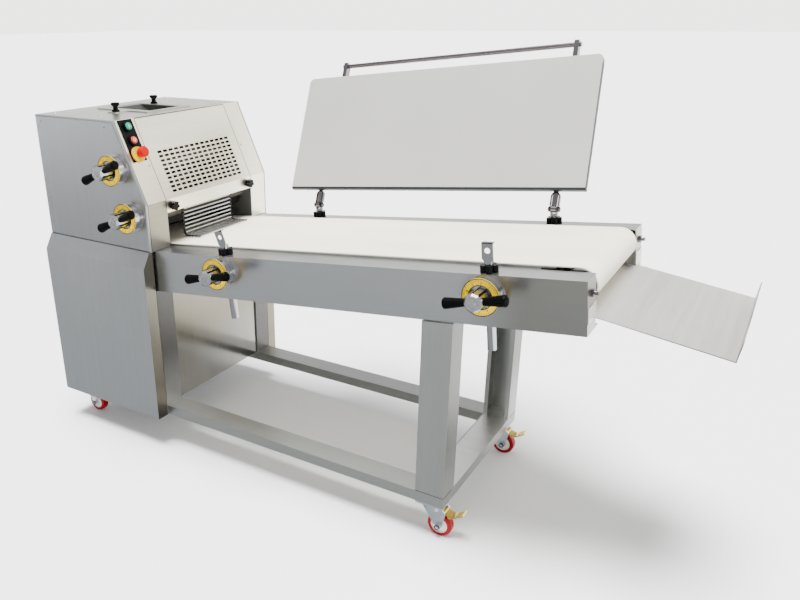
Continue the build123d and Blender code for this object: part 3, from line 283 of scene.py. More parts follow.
class Wire:
    """An output socket. Arithmetic on it adds Math nodes to its sheet."""

    def __init__(self, sheet, socket):
        self.sheet = sheet
        self.socket = socket

    def maths(self, operation, *terms):
        return self.sheet.node("ShaderNodeMath", dict(enumerate(terms)), operation=operation)["Value"]

    __add__, __radd__ = operator_pair("ADD")
    __sub__, __rsub__ = operator_pair("SUBTRACT")
    __mul__, __rmul__ = operator_pair("MULTIPLY")
    __truediv__, __rtruediv__ = operator_pair("DIVIDE")
    __pow__, __rpow__ = operator_pair("POWER")

    def __abs__(self):
        return self.maths("ABSOLUTE", self)

    def above(self, edge):
        """One where the value is over an edge, zero elsewhere."""
        return self.maths("GREATER_THAN", self, edge)

    def spread(self, low, high):
        """The value stretched smoothly so that low becomes zero and high one."""
        inputs = {"Value": self, "From Min": low, "From Max": high}
        return self.sheet.node("ShaderNodeMapRange", inputs, interpolation_type="SMOOTHSTEP")["Result"]


class Made:
    """A node that was just added. Its outputs are read by name or number."""

    def __init__(self, sheet, node):
        self.sheet = sheet
        self.node = node

    def __getitem__(self, output):
        return Wire(self.sheet, self.node.outputs[output])


class Sheet:
    """A node tree that is filled one node at a time."""

    def __init__(self, tree):
        self.tree = tree

    def node(self, kind, inputs=None, **settings):
        """Add a node: its settings first, then a value, a link or a list of links for each socket."""
        node = self.tree.nodes.new(kind)
        for name, value in settings.items():
            setattr(node, name, value)
        for key, value in (inputs or {}).items():
            for term in value if isinstance(value, list) else [value]:
                self.feed(node.inputs[key], term)
        return Made(self, node)

    def feed(self, socket, term):
        if isinstance(term, Wire):
            self.tree.links.new(term.socket, socket)
        else:
            socket.default_value = term

    def mix(self, share, first, second):
        """Colour between two colours."""
        return self.node("ShaderNodeMix", {0: share, 6: first, 7: second}, data_type="RGBA")[2]

    def dot(self, vector, way):
        """How far a vector reaches along a direction."""
        return self.node("ShaderNodeVectorMath", {0: vector, 1: tuple(way)}, operation="DOT_PRODUCT")["Value"]

    def split(self, vector):
        """A vector as three numbers."""
        parts = self.node("ShaderNodeSeparateXYZ", {"Vector": vector})
        return parts["X"], parts["Y"], parts["Z"]


def rgba(values, share=1.0):
    """A colour made darker or lighter, with full cover."""
    return (*(min(1.0, value * share) for value in values), 1.0)


class Finish(Sheet):
    """A material with one Principled shader, read in the machine's own coordinates."""

    def __init__(self, name):
        self.material = bpy.data.materials.new(name)
        self.material.use_nodes = True
        super().__init__(self.material.node_tree)
        self.tree.nodes.clear()
        self.shader = self.node("ShaderNodeBsdfPrincipled")
        self.node("ShaderNodeOutputMaterial", {"Surface": self.shader["BSDF"]})
        coordinates = self.node("ShaderNodeTexCoord")
        self.place = coordinates["Object"]
        self.normal = coordinates["Normal"]

    def surface(self, **sockets):
        """Set or link sockets of the shader; words are joined by underscores."""
        for key, value in sockets.items():
            self.feed(self.shader.node.inputs[key.replace("_", " ")], value)
        return self.material

    def noise(self, scale, stretch=(1, 1, 1), detail=3.0):
        place = self.node("ShaderNodeMapping", {"Vector": self.place, "Scale": stretch})["Vector"]
        return self.node("ShaderNodeTexNoise", {"Vector": place, "Scale": scale, "Detail": detail})["Fac"]

    def tool_marks(self):
        return self.noise(700, (1, 0.05, 1), 2.0)

    def tones(self, share, base, low, high):
        """Colour between two tones of one colour."""
        return self.mix(share, rgba(base, low), rgba(base, high))

    def bump(self, height, strength, distance=0.2 * MM):
        sockets = {"Height": height, "Strength": strength, "Distance": distance}
        return self.node("ShaderNodeBump", sockets)["Normal"]

    def facing(self):
        """The surface's own direction, as three numbers."""
        return self.split(self.normal)

    def offset(self, centre=(0, 0, 0)):
        """The place measured from a centre, as three numbers."""
        terms = {0: self.place, 1: tuple(centre)}
        return self.split(self.node("ShaderNodeVectorMath", terms, operation="SUBTRACT")["Vector"])

    def radius_about_y(self, centre):
        """Distance from a line through the centre along Y."""
        x, _, z = self.offset(centre)
        return (x * x + z * z) ** 0.5


GRAIN_ALONG = {"x": (0.02, 1, 1), "y": (1, 0.02, 1), "z": (1, 1, 0.02)}


def brushed_sheet(name, base, steel, along="x", roughness=None, grain=None, others=()):
    """Satin sheet steel: fine lines along the rolling direction and a slow change of tone.

    Each of the others is a second tone, mostly a painted shade or painted light, a function of the finish that
    says where it lies, and perhaps a roughness of its own there.
    """
    finish = Finish(name)
    lines = finish.noise(900, GRAIN_ALONG[along])
    bands = finish.noise(60, GRAIN_ALONG[along], 2.0)
    cloud = finish.noise(2.2, detail=2.0)
    tone = 0.5 * lines + 0.3 * bands + 0.2 * cloud
    satin = steel.roughness if roughness is None else roughness
    depth = steel.grain if grain is None else grain
    limits = (1 - 0.16 * depth, 1 + 0.12 * depth)
    light = tone.spread(0.3, 0.7)
    shade = finish.tones(light, base, *limits)
    rough = satin + (tone - 0.5) * (0.5 * depth)
    for second, where, *own in others:
        share = where(finish)
        shade = finish.mix(share, shade, finish.tones(light, second, *limits))
        if own:
            rough = rough - share.above(0.0) * (satin - own[0])
    return finish.surface(Base_Color=shade, Metallic=1.0, Roughness=rough,
                          Normal=finish.bump(lines, 0.12 * depth))


def machined_steel(name, base, roughness=0.22):
    """Bright turned or drawn steel with faint tool marks."""
    finish = Finish(name)
    marks = finish.tool_marks()
    shade = finish.tones(finish.noise(45), base, 0.9, 1.04)
    return finish.surface(Base_Color=shade, Metallic=1.0, Roughness=roughness + (marks - 0.5) * 0.16,
                          Normal=finish.bump(marks, 0.08))


def zinc_plate(name, base):
    """Bright zinc with a faint crystal tone."""
    finish = Finish(name)
    cells = finish.node("ShaderNodeTexVoronoi", {"Vector": finish.place, "Scale": 240.0})["Color"]
    tone = finish.node("ShaderNodeSeparateColor", {"Color": cells})["Red"]
    shade = finish.tones(tone, base, 0.95, 1.03)
    return finish.surface(Base_Color=shade, Metallic=1.0, Roughness=0.30 + tone * 0.06)


def moulded_plastic(name, base, roughness, gloss=0.5):
    """Moulded plastic with a fine spark-eroded skin."""
    finish = Finish(name)
    skin = finish.noise(1600, detail=2.0)
    shade = finish.tones(finish.noise(30), base, 0.88, 1.08)
    return finish.surface(Base_Color=shade, Roughness=roughness + (skin - 0.5) * 0.12,
                          Specular_IOR_Level=gloss, Normal=finish.bump(skin, 0.08))


def woven_belt(name, base):
    """Coated belt: a fine weave under the coat, and faint flour marks along the run."""
    finish = Finish(name)
    sockets = {"Vector": finish.place, "Scale": 260.0}
    warp, weft = (finish.node("ShaderNodeTexWave", sockets, bands_direction=way)["Fac"] for way in "XY")
    weave = warp * weft
    runs = finish.noise(7, (0.25, 1, 1))
    shade = finish.tones(runs.spread(0.3, 0.72), base, 0.93, 1.05)
    return finish.surface(Base_Color=shade, Roughness=0.62 - weave * 0.08,
                          Normal=finish.bump(weave, 0.10, 0.3 * MM))


def grained_board(name, base, edge, face):
    """Smooth pressed board with a fine grain, a little dust and dark edges round its face."""
    finish = Finish(name)
    grain = finish.noise(420, detail=2.0)
    dust = finish.noise(3.5)
    shade = finish.tones(dust.spread(0.3, 0.7), base, 0.97, 1.02)
    flat = finish.dot(finish.normal, face)
    shade = finish.mix((flat * flat).above(0.5), rgba(edge), shade)
    return finish.surface(Base_Color=shade, Roughness=0.50 + (grain - 0.5) * 0.1,
                          Normal=finish.bump(grain, 0.04))


def painted_casting(name, base):
    finish = Finish(name)
    orange_peel = finish.noise(350)
    shade = finish.tones(finish.noise(18), base, 0.85, 1.1)
    return finish.surface(Base_Color=shade, Roughness=0.45, Normal=finish.bump(orange_peel, 0.15, 0.5 * MM))


def wheel_finish(name, centre, colours):
    """White hub with a red tread round it."""
    finish = Finish(name)
    hub_radius = 27.2 * MM
    dirt = finish.noise(90)
    rubber = finish.tones(dirt, colours.tread, 0.75, 1.1)
    tread = finish.radius_about_y(centre).above(hub_radius)
    shade = finish.mix(tread, rgba(colours.hub), rubber)
    return finish.surface(Base_Color=shade, Roughness=0.36 + dirt * 0.14, Specular_IOR_Level=0.15,
                          Normal=finish.bump(dirt, 0.05, 0.4 * MM))


def handle_finish(name, centre, settings):
    """Cast bright hub with black moulded grips on both sides."""
    finish = Finish(name)
    grip = finish.radius_about_y(centre).above(settings.dials.hub_radius)
    skin = finish.noise(500, detail=2.0)
    metal = finish.tones(skin, settings.steel.polished, 0.88, 1.02)
    shade = finish.mix(grip, metal, rgba(settings.colours.black))
    rough = 0.2 + skin * 0.1 + grip * 0.06
    return finish.surface(Base_Color=shade, Metallic=1 - grip, Roughness=rough, Specular_IOR_Level=0.045,
                          Normal=finish.bump(skin, 0.06, 0.3 * MM))


def hook_finish(name, settings):
    """Bright drawn columns whose hook plates have a painted shade on their upper lips."""
    finish = Finish(name)
    lip_shade_height = 5.5 * MM
    marks = finish.tool_marks()
    top = span("front_columns", OUT_OF_TABLE)[1]
    lip = finish.dot(finish.place, OUT_OF_TABLE).above(top - lip_shade_height)
    bright = finish.tones(marks, settings.steel.polished, 0.65, 0.85)
    # Painted shade: the upper lips of the hook plates are near black
    shade = finish.mix(lip, bright, rgba(settings.colours.chain, 0.5))
    return finish.surface(Base_Color=shade, Metallic=1.0, Roughness=0.08 + marks * 0.08)


def mat_finish(name, centre, bright_half, steel):
    """Bright drawn rods with a painted shade where they lie on the belt, and near black rod ends and links."""
    finish = Finish(name)
    lying_shade_from = 12 * MM
    x, y, _ = finish.offset(centre)
    marks = finish.tool_marks()
    bright = finish.tones(marks, steel.polished, 1.25, 1.45)
    # Painted shade: the rods are half as bright where they lie on the belt
    drawn = finish.mix(x.above(lying_shade_from), bright, rgba(steel.polished, 0.5))
    shade = finish.mix(abs(y).above(bright_half), drawn, rgba(steel.blades))
    return finish.surface(Base_Color=shade, Metallic=1.0, Roughness=0.22 + marks * 0.12)


def scale_finish(name, base):
    """Printed ring: yellow with small scuffs."""
    finish = Finish(name)
    scuff = finish.noise(160)
    shade = finish.tones(scuff.spread(0.35, 0.75), base, 1.0, 0.86)
    return finish.surface(Base_Color=shade, Roughness=0.34 + scuff * 0.12, Specular_IOR_Level=0.03)


# A face looks along an axis where it has more than this of the axis, or of its square for both ways
ONE_WAY = 0.7
BOTH_WAYS = 0.5
UPRIGHT = 0.95


def cabinet_place(finish):
    """How far a place is past the cabinet's end panel, past the legs' inner sides and above the floor."""
    low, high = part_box("cabinet_panels")
    end_panel = high.x - 30 * MM
    x, y, z = finish.offset((end_panel, (low.y + high.y) / 2, 0))
    return x, abs(y) - LEG_INSIDE, z


# The next functions say where a second tone lies on a sheet, most of them a painted shade or painted light: the
# share of it, up to one

def cover_edges(finish):
    """Painted shade on the edges of the covers that look towards the tray."""
    return finish.facing()[0].above(ONE_WAY) * cabinet_place(finish)[1].above(0.0)


def between_legs(finish):
    """Painted shade on the panel between the left legs, less near the floor."""
    least, low, high = 0.6, 200 * MM, 450 * MM
    x, y, z = cabinet_place(finish)
    return x.above(0.0) * (0 - y).above(0.0) * (least + (1 - least) * z.spread(low, high))


def facing_tray(finish):
    """Faces that look along the belt."""
    along = finish.facing()[0]
    return (along * along).above(BOTH_WAYS)


def upper_webs(finish):
    """Painted shade high on the faces that look along the belt and on the rear left leg, less near the floor."""
    least, low, high = 0.4, 150 * MM, 400 * MM
    x, y, z = finish.offset()
    rear_left = (0 - x).above(0.0) * y.above(0.0)
    return facing_tray(finish) * (least + (1 - least) * z.maths("MAXIMUM", z.spread(low, high), rear_left))


def rear_web(finish):
    """Painted shade on the upper webs, and half as much on the rear channel's upright faces."""
    rear_from = 100 * MM
    across = finish.facing()[1]
    upright = (across * across).above(BOTH_WAYS) * finish.offset()[1].above(rear_from)
    return upper_webs(finish) + 0.5 * upright


def rail_end(finish):
    """Painted shade rising along the operator's side of the rail, towards the tray."""
    most, begins, full = 0.85, 480 * MM, 680 * MM
    return most * (0 - finish.facing()[1]).above(ONE_WAY) * finish.offset()[0].spread(begins, full)


def cross_top(finish):
    """Painted light on the top of the cross channel under the tray's end."""
    channel_from = 385 * MM
    return finish.facing()[2].above(ONE_WAY) * finish.offset()[0].above(channel_from)


def strip_foot(finish):
    """Painted shade on the upright foot of the strip on the operator's side."""
    return finish.facing()[0].above(UPRIGHT) * (0 - finish.offset()[1]).above(0.0)


def on_deck(finish):
    """The flange that lies on the deck."""
    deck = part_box("head_hood")[1].z - 0.5 * MM
    return finish.offset((0, 0, deck))[2].above(0.0)


def paint(material, *nodes):
    """Give CAD nodes one material."""
    for node in nodes:
        slots = NODES[node].material_slots
        if not slots:
            raise RuntimeError(f"{node} has no material slot")
        for place in slots:
            place.material = material


def linked(name, data):
    """A new object in the scene."""
    holder = bpy.data.objects.new(name, data)
    bpy.context.scene.collection.objects.link(holder)
    return holder


def plain_mesh(holder):
    """The mesh that an object gives with its modifiers; the object itself goes."""
    graph = bpy.context.evaluated_depsgraph_get()
    mesh = bpy.data.meshes.new_from_object(holder.evaluated_get(graph))
    holder.modifiers.clear()
    bpy.data.objects.remove(holder)
    return mesh


def keep(name, mesh, body, slot, material=None):
    """Link a finished mesh and let it ride on a body."""
    if material:
        mesh.materials.append(material)
    piece = linked(name, mesh)
    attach(piece, body)
    return piece


def points_mesh(name, places):
    """Loose points that each know which way they face."""
    mesh = bpy.data.meshes.new(name)
    mesh.from_pydata([place for place, _ in places], [], [])
    facing = mesh.attributes.new("facing", "FLOAT_VECTOR", "POINT")
    facing.data.foreach_set("vector", [value for _, way in places for value in way])
    return mesh


def grow(name, tree, base, sizes, body, slot):
    """Run a geometry tree on a mesh, or on places that face a way, and keep the result as a plain mesh."""
    seed = linked(name + "_seed", points_mesh(name, base) if isinstance(base, list) else base)
    modifier = seed.modifiers.new("grow", "NODES")
    modifier.node_group = tree
    for item in tree.interface.items_tree:
        if item.item_type == "SOCKET" and item.in_out == "INPUT" and item.name in sizes:
            modifier[item.identifier] = sizes[item.name]
    grown = plain_mesh(seed)
    if not grown.polygons:
        raise RuntimeError(f"{name} grew no faces")
    grown.name = name
    return keep(name, grown, body, slot)


class Growth(Sheet):
    """A Geometry Nodes tree with named inputs, the last of them a material."""

    KINDS = {float: "NodeSocketFloat", int: "NodeSocketInt", bpy.types.Material: "NodeSocketMaterial"}

    def __init__(self, name, inputs):
        super().__init__(bpy.data.node_groups.new(name, "GeometryNodeTree"))
        face = self.tree.interface
        face.new_socket("Geometry", in_out="INPUT", socket_type="NodeSocketGeometry")
        for label, kind in {**inputs, "Material": bpy.types.Material}.items():
            face.new_socket(label, in_out="INPUT", socket_type=self.KINDS[kind])
        face.new_socket("Geometry", in_out="OUTPUT", socket_type="NodeSocketGeometry")
        self.given = self.node("NodeGroupInput")

    def vector(self, x=0.0, y=0.0, z=0.0):
        return self.node("ShaderNodeCombineXYZ", {"X": x, "Y": y, "Z": z})["Vector"]

    def cylinder(self, sides, radius, depth):
        sockets = {"Vertices": sides, "Radius": radius, "Depth": depth}
        return self.node("GeometryNodeMeshCylinder", sockets)["Mesh"]

    def block(self, x, y, z):
        return self.node("GeometryNodeMeshCube", {"Size": self.vector(x, y, z)})["Mesh"]

    def moved(self, shape, translation=(0, 0, 0), rotation=(0, 0, 0)):
        sockets = {"Geometry": shape, "Translation": translation, "Rotation": rotation}
        return self.node("GeometryNodeTransform", sockets)["Geometry"]

    def cut(self, shape, tool):
        sockets = {0: shape, 1: tool}
        return self.node("GeometryNodeMeshBoolean", sockets, operation="DIFFERENCE", solver="EXACT")["Mesh"]

    def turned(self, way, axis):
        """Rotation that turns an axis to a direction."""
        return self.node("FunctionNodeAlignRotationToVector", {"Vector": way}, axis=axis)["Rotation"]

    def position(self):
        return self.node("GeometryNodeInputPosition")["Position"]

    def repeat(self, shape, points, rotation=None):
        sockets = {"Points": points, "Instance": shape}
        if rotation is not None:
            sockets["Rotation"] = rotation
        return self.node("GeometryNodeInstanceOnPoints", sockets)["Instances"]

    def joined(self, *shapes):
        return self.node("GeometryNodeJoinGeometry", {"Geometry": list(shapes)})["Geometry"]

    def finish(self, shape):
        """Make the copies real, give them the material and end the tree."""
        real = self.node("GeometryNodeRealizeInstances", {"Geometry": shape})["Geometry"]
        sockets = {"Geometry": real, "Material": self.given["Material"]}
        dressed = self.node("GeometryNodeSetMaterial", sockets)["Geometry"]
        self.node("NodeGroupOutput", {"Geometry": dressed})
        return self.tree

    def on_points(self, shape):
        """End the tree with a copy on every point, turned to the point's own facing."""
        named = self.node("GeometryNodeInputNamedAttribute", {"Name": "facing"}, data_type="FLOAT_VECTOR")
        facing = self.turned(named["Attribute"], "Z")
        return self.finish(self.repeat(shape, self.given["Geometry"], facing))


def fastener_tree():
    """Head with a bevelled rim and a socket or bore, set on every point along its facing."""
    tree = Growth("fastener", {"Head radius": float, "Head height": float, "Head sides": int,
                               "Bore radius": float, "Bore depth": float, "Bore sides": int})
    given = tree.given
    radius, height, sides = given["Head radius"], given["Head height"], given["Head sides"]
    body = tree.moved(tree.cylinder(sides, radius, height * 0.7), tree.vector(z=height * 0.35))
    sockets = {"Vertices": sides, "Radius Top": radius * 0.82, "Radius Bottom": radius, "Depth": height * 0.3}
    rim = tree.moved(tree.node("GeometryNodeMeshCone", sockets)["Mesh"], tree.vector(z=height * 0.7))
    bore = tree.cylinder(given["Bore sides"], given["Bore radius"], given["Bore depth"] * 2)
    bore = tree.moved(bore, tree.vector(z=height))
    both = {1: [body, rim]}
    head = tree.node("GeometryNodeMeshBoolean", both, operation="UNION", solver="EXACT")["Mesh"]
    return tree.on_points(tree.cut(head, bore))


def fasten(name, places, body, slot, material, head, bore):
    """Set fasteners on places. Head and bore each have a radius, a height or depth, and sides."""
    labels = ("Head radius", "Head height", "Head sides", "Bore radius", "Bore depth", "Bore sides")
    sizes = dict(zip(labels, (*head, *bore)))
    return grow(name, fastener_tree(), places, {**sizes, "Material": material}, body, slot)


def scale_mark_tree():
    """Lines round a ring and two rim lines, set on every dial."""
    tree = Growth("scale_marks", {"Outer radius": float, "Inner radius": float, "Count": int,
                                  "Length": float, "Width": float, "Height": float})
    given = tree.given
    outer, length, width, height = (given[name] for name in ("Outer radius", "Length", "Width", "Height"))
    line_radius = outer - 3 * width - length / 2
    ring = tree.node("GeometryNodeMeshCircle", {"Vertices": given["Count"], "Radius": line_radius})["Mesh"]
    lines = tree.repeat(tree.block(length, width, height), ring, tree.turned(tree.position(), "X"))
    rims = []
    for radius in (outer - width, given["Inner radius"] + width):
        path = tree.node("GeometryNodeCurvePrimitiveCircle", {"Resolution": 96, "Radius": radius})["Curve"]
        sockets = {"Width": width * 2, "Height": height}
        section = tree.node("GeometryNodeCurvePrimitiveQuadrilateral", sockets)["Curve"]
        rims.append(tree.node("GeometryNodeCurveToMesh", {"Curve": path, "Profile Curve": section})["Mesh"])
    return tree.on_points(tree.joined(lines, *rims))


LYING = (pi / 2, 0, 0)


def ridge_tree():
    """Bar across a pedal, set on every point."""
    tree = Growth("ridges", {"Length": float, "Height": float})
    bar = tree.cylinder(12, tree.given["Height"], tree.given["Length"])
    return tree.on_points(tree.moved(bar, rotation=LYING))


def louvre_tree():
    """Half-round hood with domed ends, pressed out of a sheet at every point."""
    tree = Growth("louvres", {"Length": float, "Radius": float})
    sockets = {"Segments": 24, "Rings": 13, "Radius": tree.given["Radius"]}
    dome = tree.moved(tree.node("GeometryNodeMeshUVSphere", sockets)["Mesh"], rotation=(0, pi / 2, 0))
    x = tree.split(tree.position())[0]
    apart = tree.vector(x=x.maths("SIGN", x) * tree.given["Length"] / 2)
    whole = tree.node("GeometryNodeSetPosition", {"Geometry": dome, "Offset": apart})["Geometry"]
    return tree.on_points(whole)


def curling_mat_tree():
    """Cross rods along a bent path, rows of links between them and eyes on the bar."""
    tree = Growth("curling_mat", {
        "Rod radius": float, "Rod pitch": float, "Half width": float, "Bend": float, "Link width": float,
        "Link thickness": float, "Link rows": int, "Edge": float, "Eye radius": float, "Bar radius": float,
        "Bar rise": float})
    given = tree.given
    pitch, half, width = given["Rod pitch"], given["Half width"], given["Link width"]
    path = tree.node("GeometryNodeMeshToCurve", {"Mesh": given["Geometry"]})["Curve"]
    sockets = {"Curve": path, "Count": 8, "Radius": given["Bend"]}
    path = tree.node("GeometryNodeFilletCurve", sockets, mode="POLY")["Curve"]
    stops = tree.node("GeometryNodeResampleCurve", {"Curve": path, "Length": pitch}, mode="LENGTH")["Curve"]
    rod = tree.cylinder(14, given["Rod radius"], half * 2)
    rods = tree.repeat(tree.moved(rod, rotation=LYING), stops)
    reach = half - given["Edge"]
    spacing = reach * 2 / (given["Link rows"] - 1)
    sockets = {"Count": given["Link rows"], "Start Location": tree.vector(y=reach * -1),
               "Offset": tree.vector(y=spacing)}
    row = tree.node("GeometryNodeMeshLine", sockets)["Mesh"]
    link = tree.block(pitch * 1.05, width, given["Link thickness"])
    way = tree.node("GeometryNodeInputTangent")["Tangent"]
    links = tree.repeat(tree.repeat(link, row), stops, tree.turned(way, "X"))
    eye = tree.cylinder(24, given["Eye radius"], width)
    hole = tree.cylinder(24, given["Bar radius"], width * 2)
    eye = tree.moved(tree.cut(eye, hole), rotation=LYING)
    top = tree.node("GeometryNodeSampleCurve", {"Curves": path, "Factor": 0.0}, mode="FACTOR")["Position"]
    eyes = tree.moved(tree.repeat(eye, row), top)
    eyes = tree.moved(eyes, tree.vector(z=given["Bar rise"]))
    return tree.finish(tree.joined(rods, links, eyes))


def tubes(name, lines, radius, closed=False):
    """Rounded wires along lists of points, as one mesh."""
    curve = bpy.data.curves.new(name, "CURVE")
    curve.dimensions = "3D"
    curve.bevel_depth = radius
    curve.bevel_resolution = 2
    curve.use_fill_caps = True
    for points in lines:
        spline = curve.splines.new("POLY")
        spline.points.add(len(points) - 1)
        for target, point in zip(spline.points, points):
            target.co = (*point, 1.0)
        spline.use_cyclic_u = closed
    return plain_mesh(linked(name + "_curve", curve))


def arc(radius, turn, steps):
    """Points round a circle, from a turn of zero on."""
    angles = [turn * step / steps for step in range(steps + 1)]
    return [(radius * cos(angle), radius * sin(angle)) for angle in angles]


def prism(joined, outline, directions, start, end):
    """Add a solid: an outline in the first two directions, pushed from start to end along the third."""
    across, along, out = directions
    rings = []
    for depth in (start, end):
        rings.append([joined.verts.new(across * u + along * v + out * depth) for u, v in outline])
        joined.faces.new(rings[-1])
    for i in range(len(outline)):
        j = (i + 1) % len(outline)
        joined.faces.new((rings[0][i], rings[0][j], rings[1][j], rings[1][i]))


def lathe(joined, profile, foot, axis, across):
    """Add a turned solid: pairs of radius and height about an axis through the foot.

    It is built ring by ring, because welding a spun outline gives its faces in another order each run.
    """
    steps = 32
    around = [Matrix.Rotation(WHOLE_TURN * step / steps, 3, axis) @ across for step in range(steps)]
    rings = []
    for radius, height in profile:
        centre = foot + axis * height
        if radius:
            rings.append([joined.verts.new(centre + way * radius) for way in around])
        else:
            rings.append([joined.verts.new(centre)] * steps)
    for lower, upper in zip(rings, rings[1:]):
        for i in range(steps):
            j = (i + 1) % steps
            joined.faces.new(tuple(dict.fromkeys((lower[i], lower[j], upper[j], upper[i]))))


def keep_solid(name, joined, material, body, slot, bevel):
    """Close a bmesh of solids, round its sharp edges and keep it, smooth where it is round."""
    bmesh.ops.recalc_face_normals(joined, faces=joined.faces[:])
    sharp_from, round_to = radians(40), radians(35)
    sharp = [edge for edge in joined.edges if edge.calc_face_angle(0.0) > sharp_from]
    bmesh.ops.bevel(joined, geom=sharp, offset=bevel, segments=2, affect="EDGES")
    bmesh.ops.dissolve_degenerate(joined, dist=0.02 * MM, edges=joined.edges[:])
    mesh = bpy.data.meshes.new(name)
    joined.to_mesh(mesh)
    joined.free()
    mesh.shade_smooth()
    mesh.set_sharp_from_angle(angle=round_to)
    return keep(name, mesh, body, slot, material)


def board_directions():
    """Along the hinge, up the raised board and out of its face."""
    face = max(NODES["pressure_board"].data.polygons, key=lambda polygon: polygon.area).normal
    up = face.cross(ALONG_TABLE).normalized()
    if up.z < 0:
        up.negate()
    return ALONG_TABLE, up, Vector(face)


def frame_at(place, out, across):
    """Matrix that puts local Z along out and local X along across."""
    z, x = Vector(out).normalized(), Vector(across).normalized()
    turn = Matrix((x, z.cross(x), z)).transposed().to_4x4()
    return Matrix.Translation(place) @ turn


def dial_faces(dials):
    """Where the four scale rings and hubs face the operator: joint, body, ring centre and hub centre."""
    faces = []
    for bodies, carrier in ((HEAD_DIALS, "head_side_covers"), (RAIL_DIALS, "side_rails")):
        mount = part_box(carrier)[0].y
        for joint, body in bodies.items():
            x, _, z = joint_place(joint)
            ring, hub = (Vector((x, mount - depth, z)) for depth in (dials.depth, dials.hub_depth))
            faces.append((joint, body, ring, hub))
    return faces


class MOULDER_OT_sheet_metal(Operator):
    """Satin finishes of the fixed stainless sheets, rails, legs and frame, with painted shade and painted light on
    some of their faces
    """
    bl_idname = "moulder.sheet_metal"
    bl_label = "Sheet metal"

    def execute(self, context):
        steel = context.scene.moulder.steel

        def sheet(name, base, along, *nodes, **more):
            paint(brushed_sheet(name, base, steel, along, **more), *nodes)

        sheet("side_sheet", steel.cover, "z", "head_side_covers")
        # Painted shade on the cabinet's edges towards the tray and on the panel between the left legs
        bright_panel = 0.17
        tones = [(steel.panel, cover_edges), (steel.panel, between_legs, bright_panel)]
        sheet("cabinet_sheet", steel.cool, "z", "cabinet_panels", others=tones)
        # Painted light: the guard and the front strips take the lighter, warmer copy of the sheet steel
        sheet("guard_sheet", steel.warm, "y", "guard_cover")
        # Painted shade on the upright foot of the near strip
        sheet("strip_sheet", steel.warm, "y", "head_front_strips", others=[(steel.ends, strip_foot)])
        sheet("hood_sheet", steel.hood, "y", "head_hood", roughness=0.28)
        # Painted shade on the rails' end faces and along the rail's operator side towards the tray
        ends = [(steel.ends, facing_tray), (steel.ends, rail_end)]
        sheet("rail_sheet", steel.cool, "x", "side_rails", roughness=0.30, grain=0.2, others=ends)
        # Painted shade high on the legs' faces that look along the belt and on the rear left leg
        sheet("leg_sheet", steel.legs, "z", "legs", others=[(steel.webs, upper_webs)])
        # Painted shade on the lower frame's webs and the rear channel's upright faces
        webs = [(steel.webs, rear_web), (steel.cross, cross_top)]
        # Painted light on the top of the cross channel near the tray
        sheet("frame_sheet", steel.legs, "x", "lower_frame", "conveyor_bed", others=webs)
        sheet("inner_sheet", steel.plates, "z", "head_inner_plates", roughness=0.5)
        # Painted shade: the scraper blades behind the mat are near black
        sheet("blade_sheet", steel.blades, "y", "head_cross_bars", roughness=0.5)
        # Painted shade: the chute inside the head is near black, but for its flange on the deck
        sheet("chute_sheet", steel.inside, "z", "infeed_chute", others=[(steel.hood, on_deck)])
        return {"FINISHED"}


class MOULDER_OT_belt(Operator):
    """Coated belt, its rollers and its tension screws"""
    bl_idname = "moulder.belt"
    bl_label = "Belt"

    def execute(self, context):
        settings = context.scene.moulder
        paint(woven_belt("belt_cream", settings.colours.belt), "conveyor_belt")
        paint(machined_steel("roller_steel", settings.steel.polished), "belt_drive_roller", "belt_end_roller")
        paint(machined_steel("take_up_steel", settings.steel.bars, 0.2), "belt_take_ups")
        return {"FINISHED"}


class MOULDER_OT_tray(Operator):
    """Discharge tray with a hem round its free edges"""
    bl_idname = "moulder.tray"
    bl_label = "Tray"

    def execute(self, context):
        settings = context.scene.moulder
        colours, steel = settings.colours, settings.steel
        left, right = self.sides()
        # Painted shade: the upturned lip takes a darker copy of the tray's tone
        lip = (colours.lip, lambda finish: finish.offset(left[1])[0].above(0.0))
        paint(brushed_sheet("tray_sheet", colours.tray, steel, "y", 0.5, others=[lip]), "discharge_tray")
        mesh = tubes("tray_hem", [left + right[::-1]], 1.3 * MM)
        hem_steel = machined_steel("hem_steel", steel.bars, 0.35)
        keep("tray_hem", mesh, BODY_OF["discharge_tray"], SLOT_OF["discharge_tray"], hem_steel)
        return {"FINISHED"}

    def sides(self):
        """Start, fold and tip of both side edges."""
        corners = corners_of("discharge_tray")
        lip_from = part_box("discharge_tray")[1].x - 20 * MM
        widths = [corner.y for corner in corners if corner.x > lip_from]
        for side in (min(widths), max(widths)):
            edge = [corner for corner in corners if abs(corner.y - side) < 0.1 * MM]
            start, tip = (choose(edge, key=lambda corner: corner.x) for choose in (min, max))
            yield [start, min(edge, key=lambda corner: corner.z), tip]


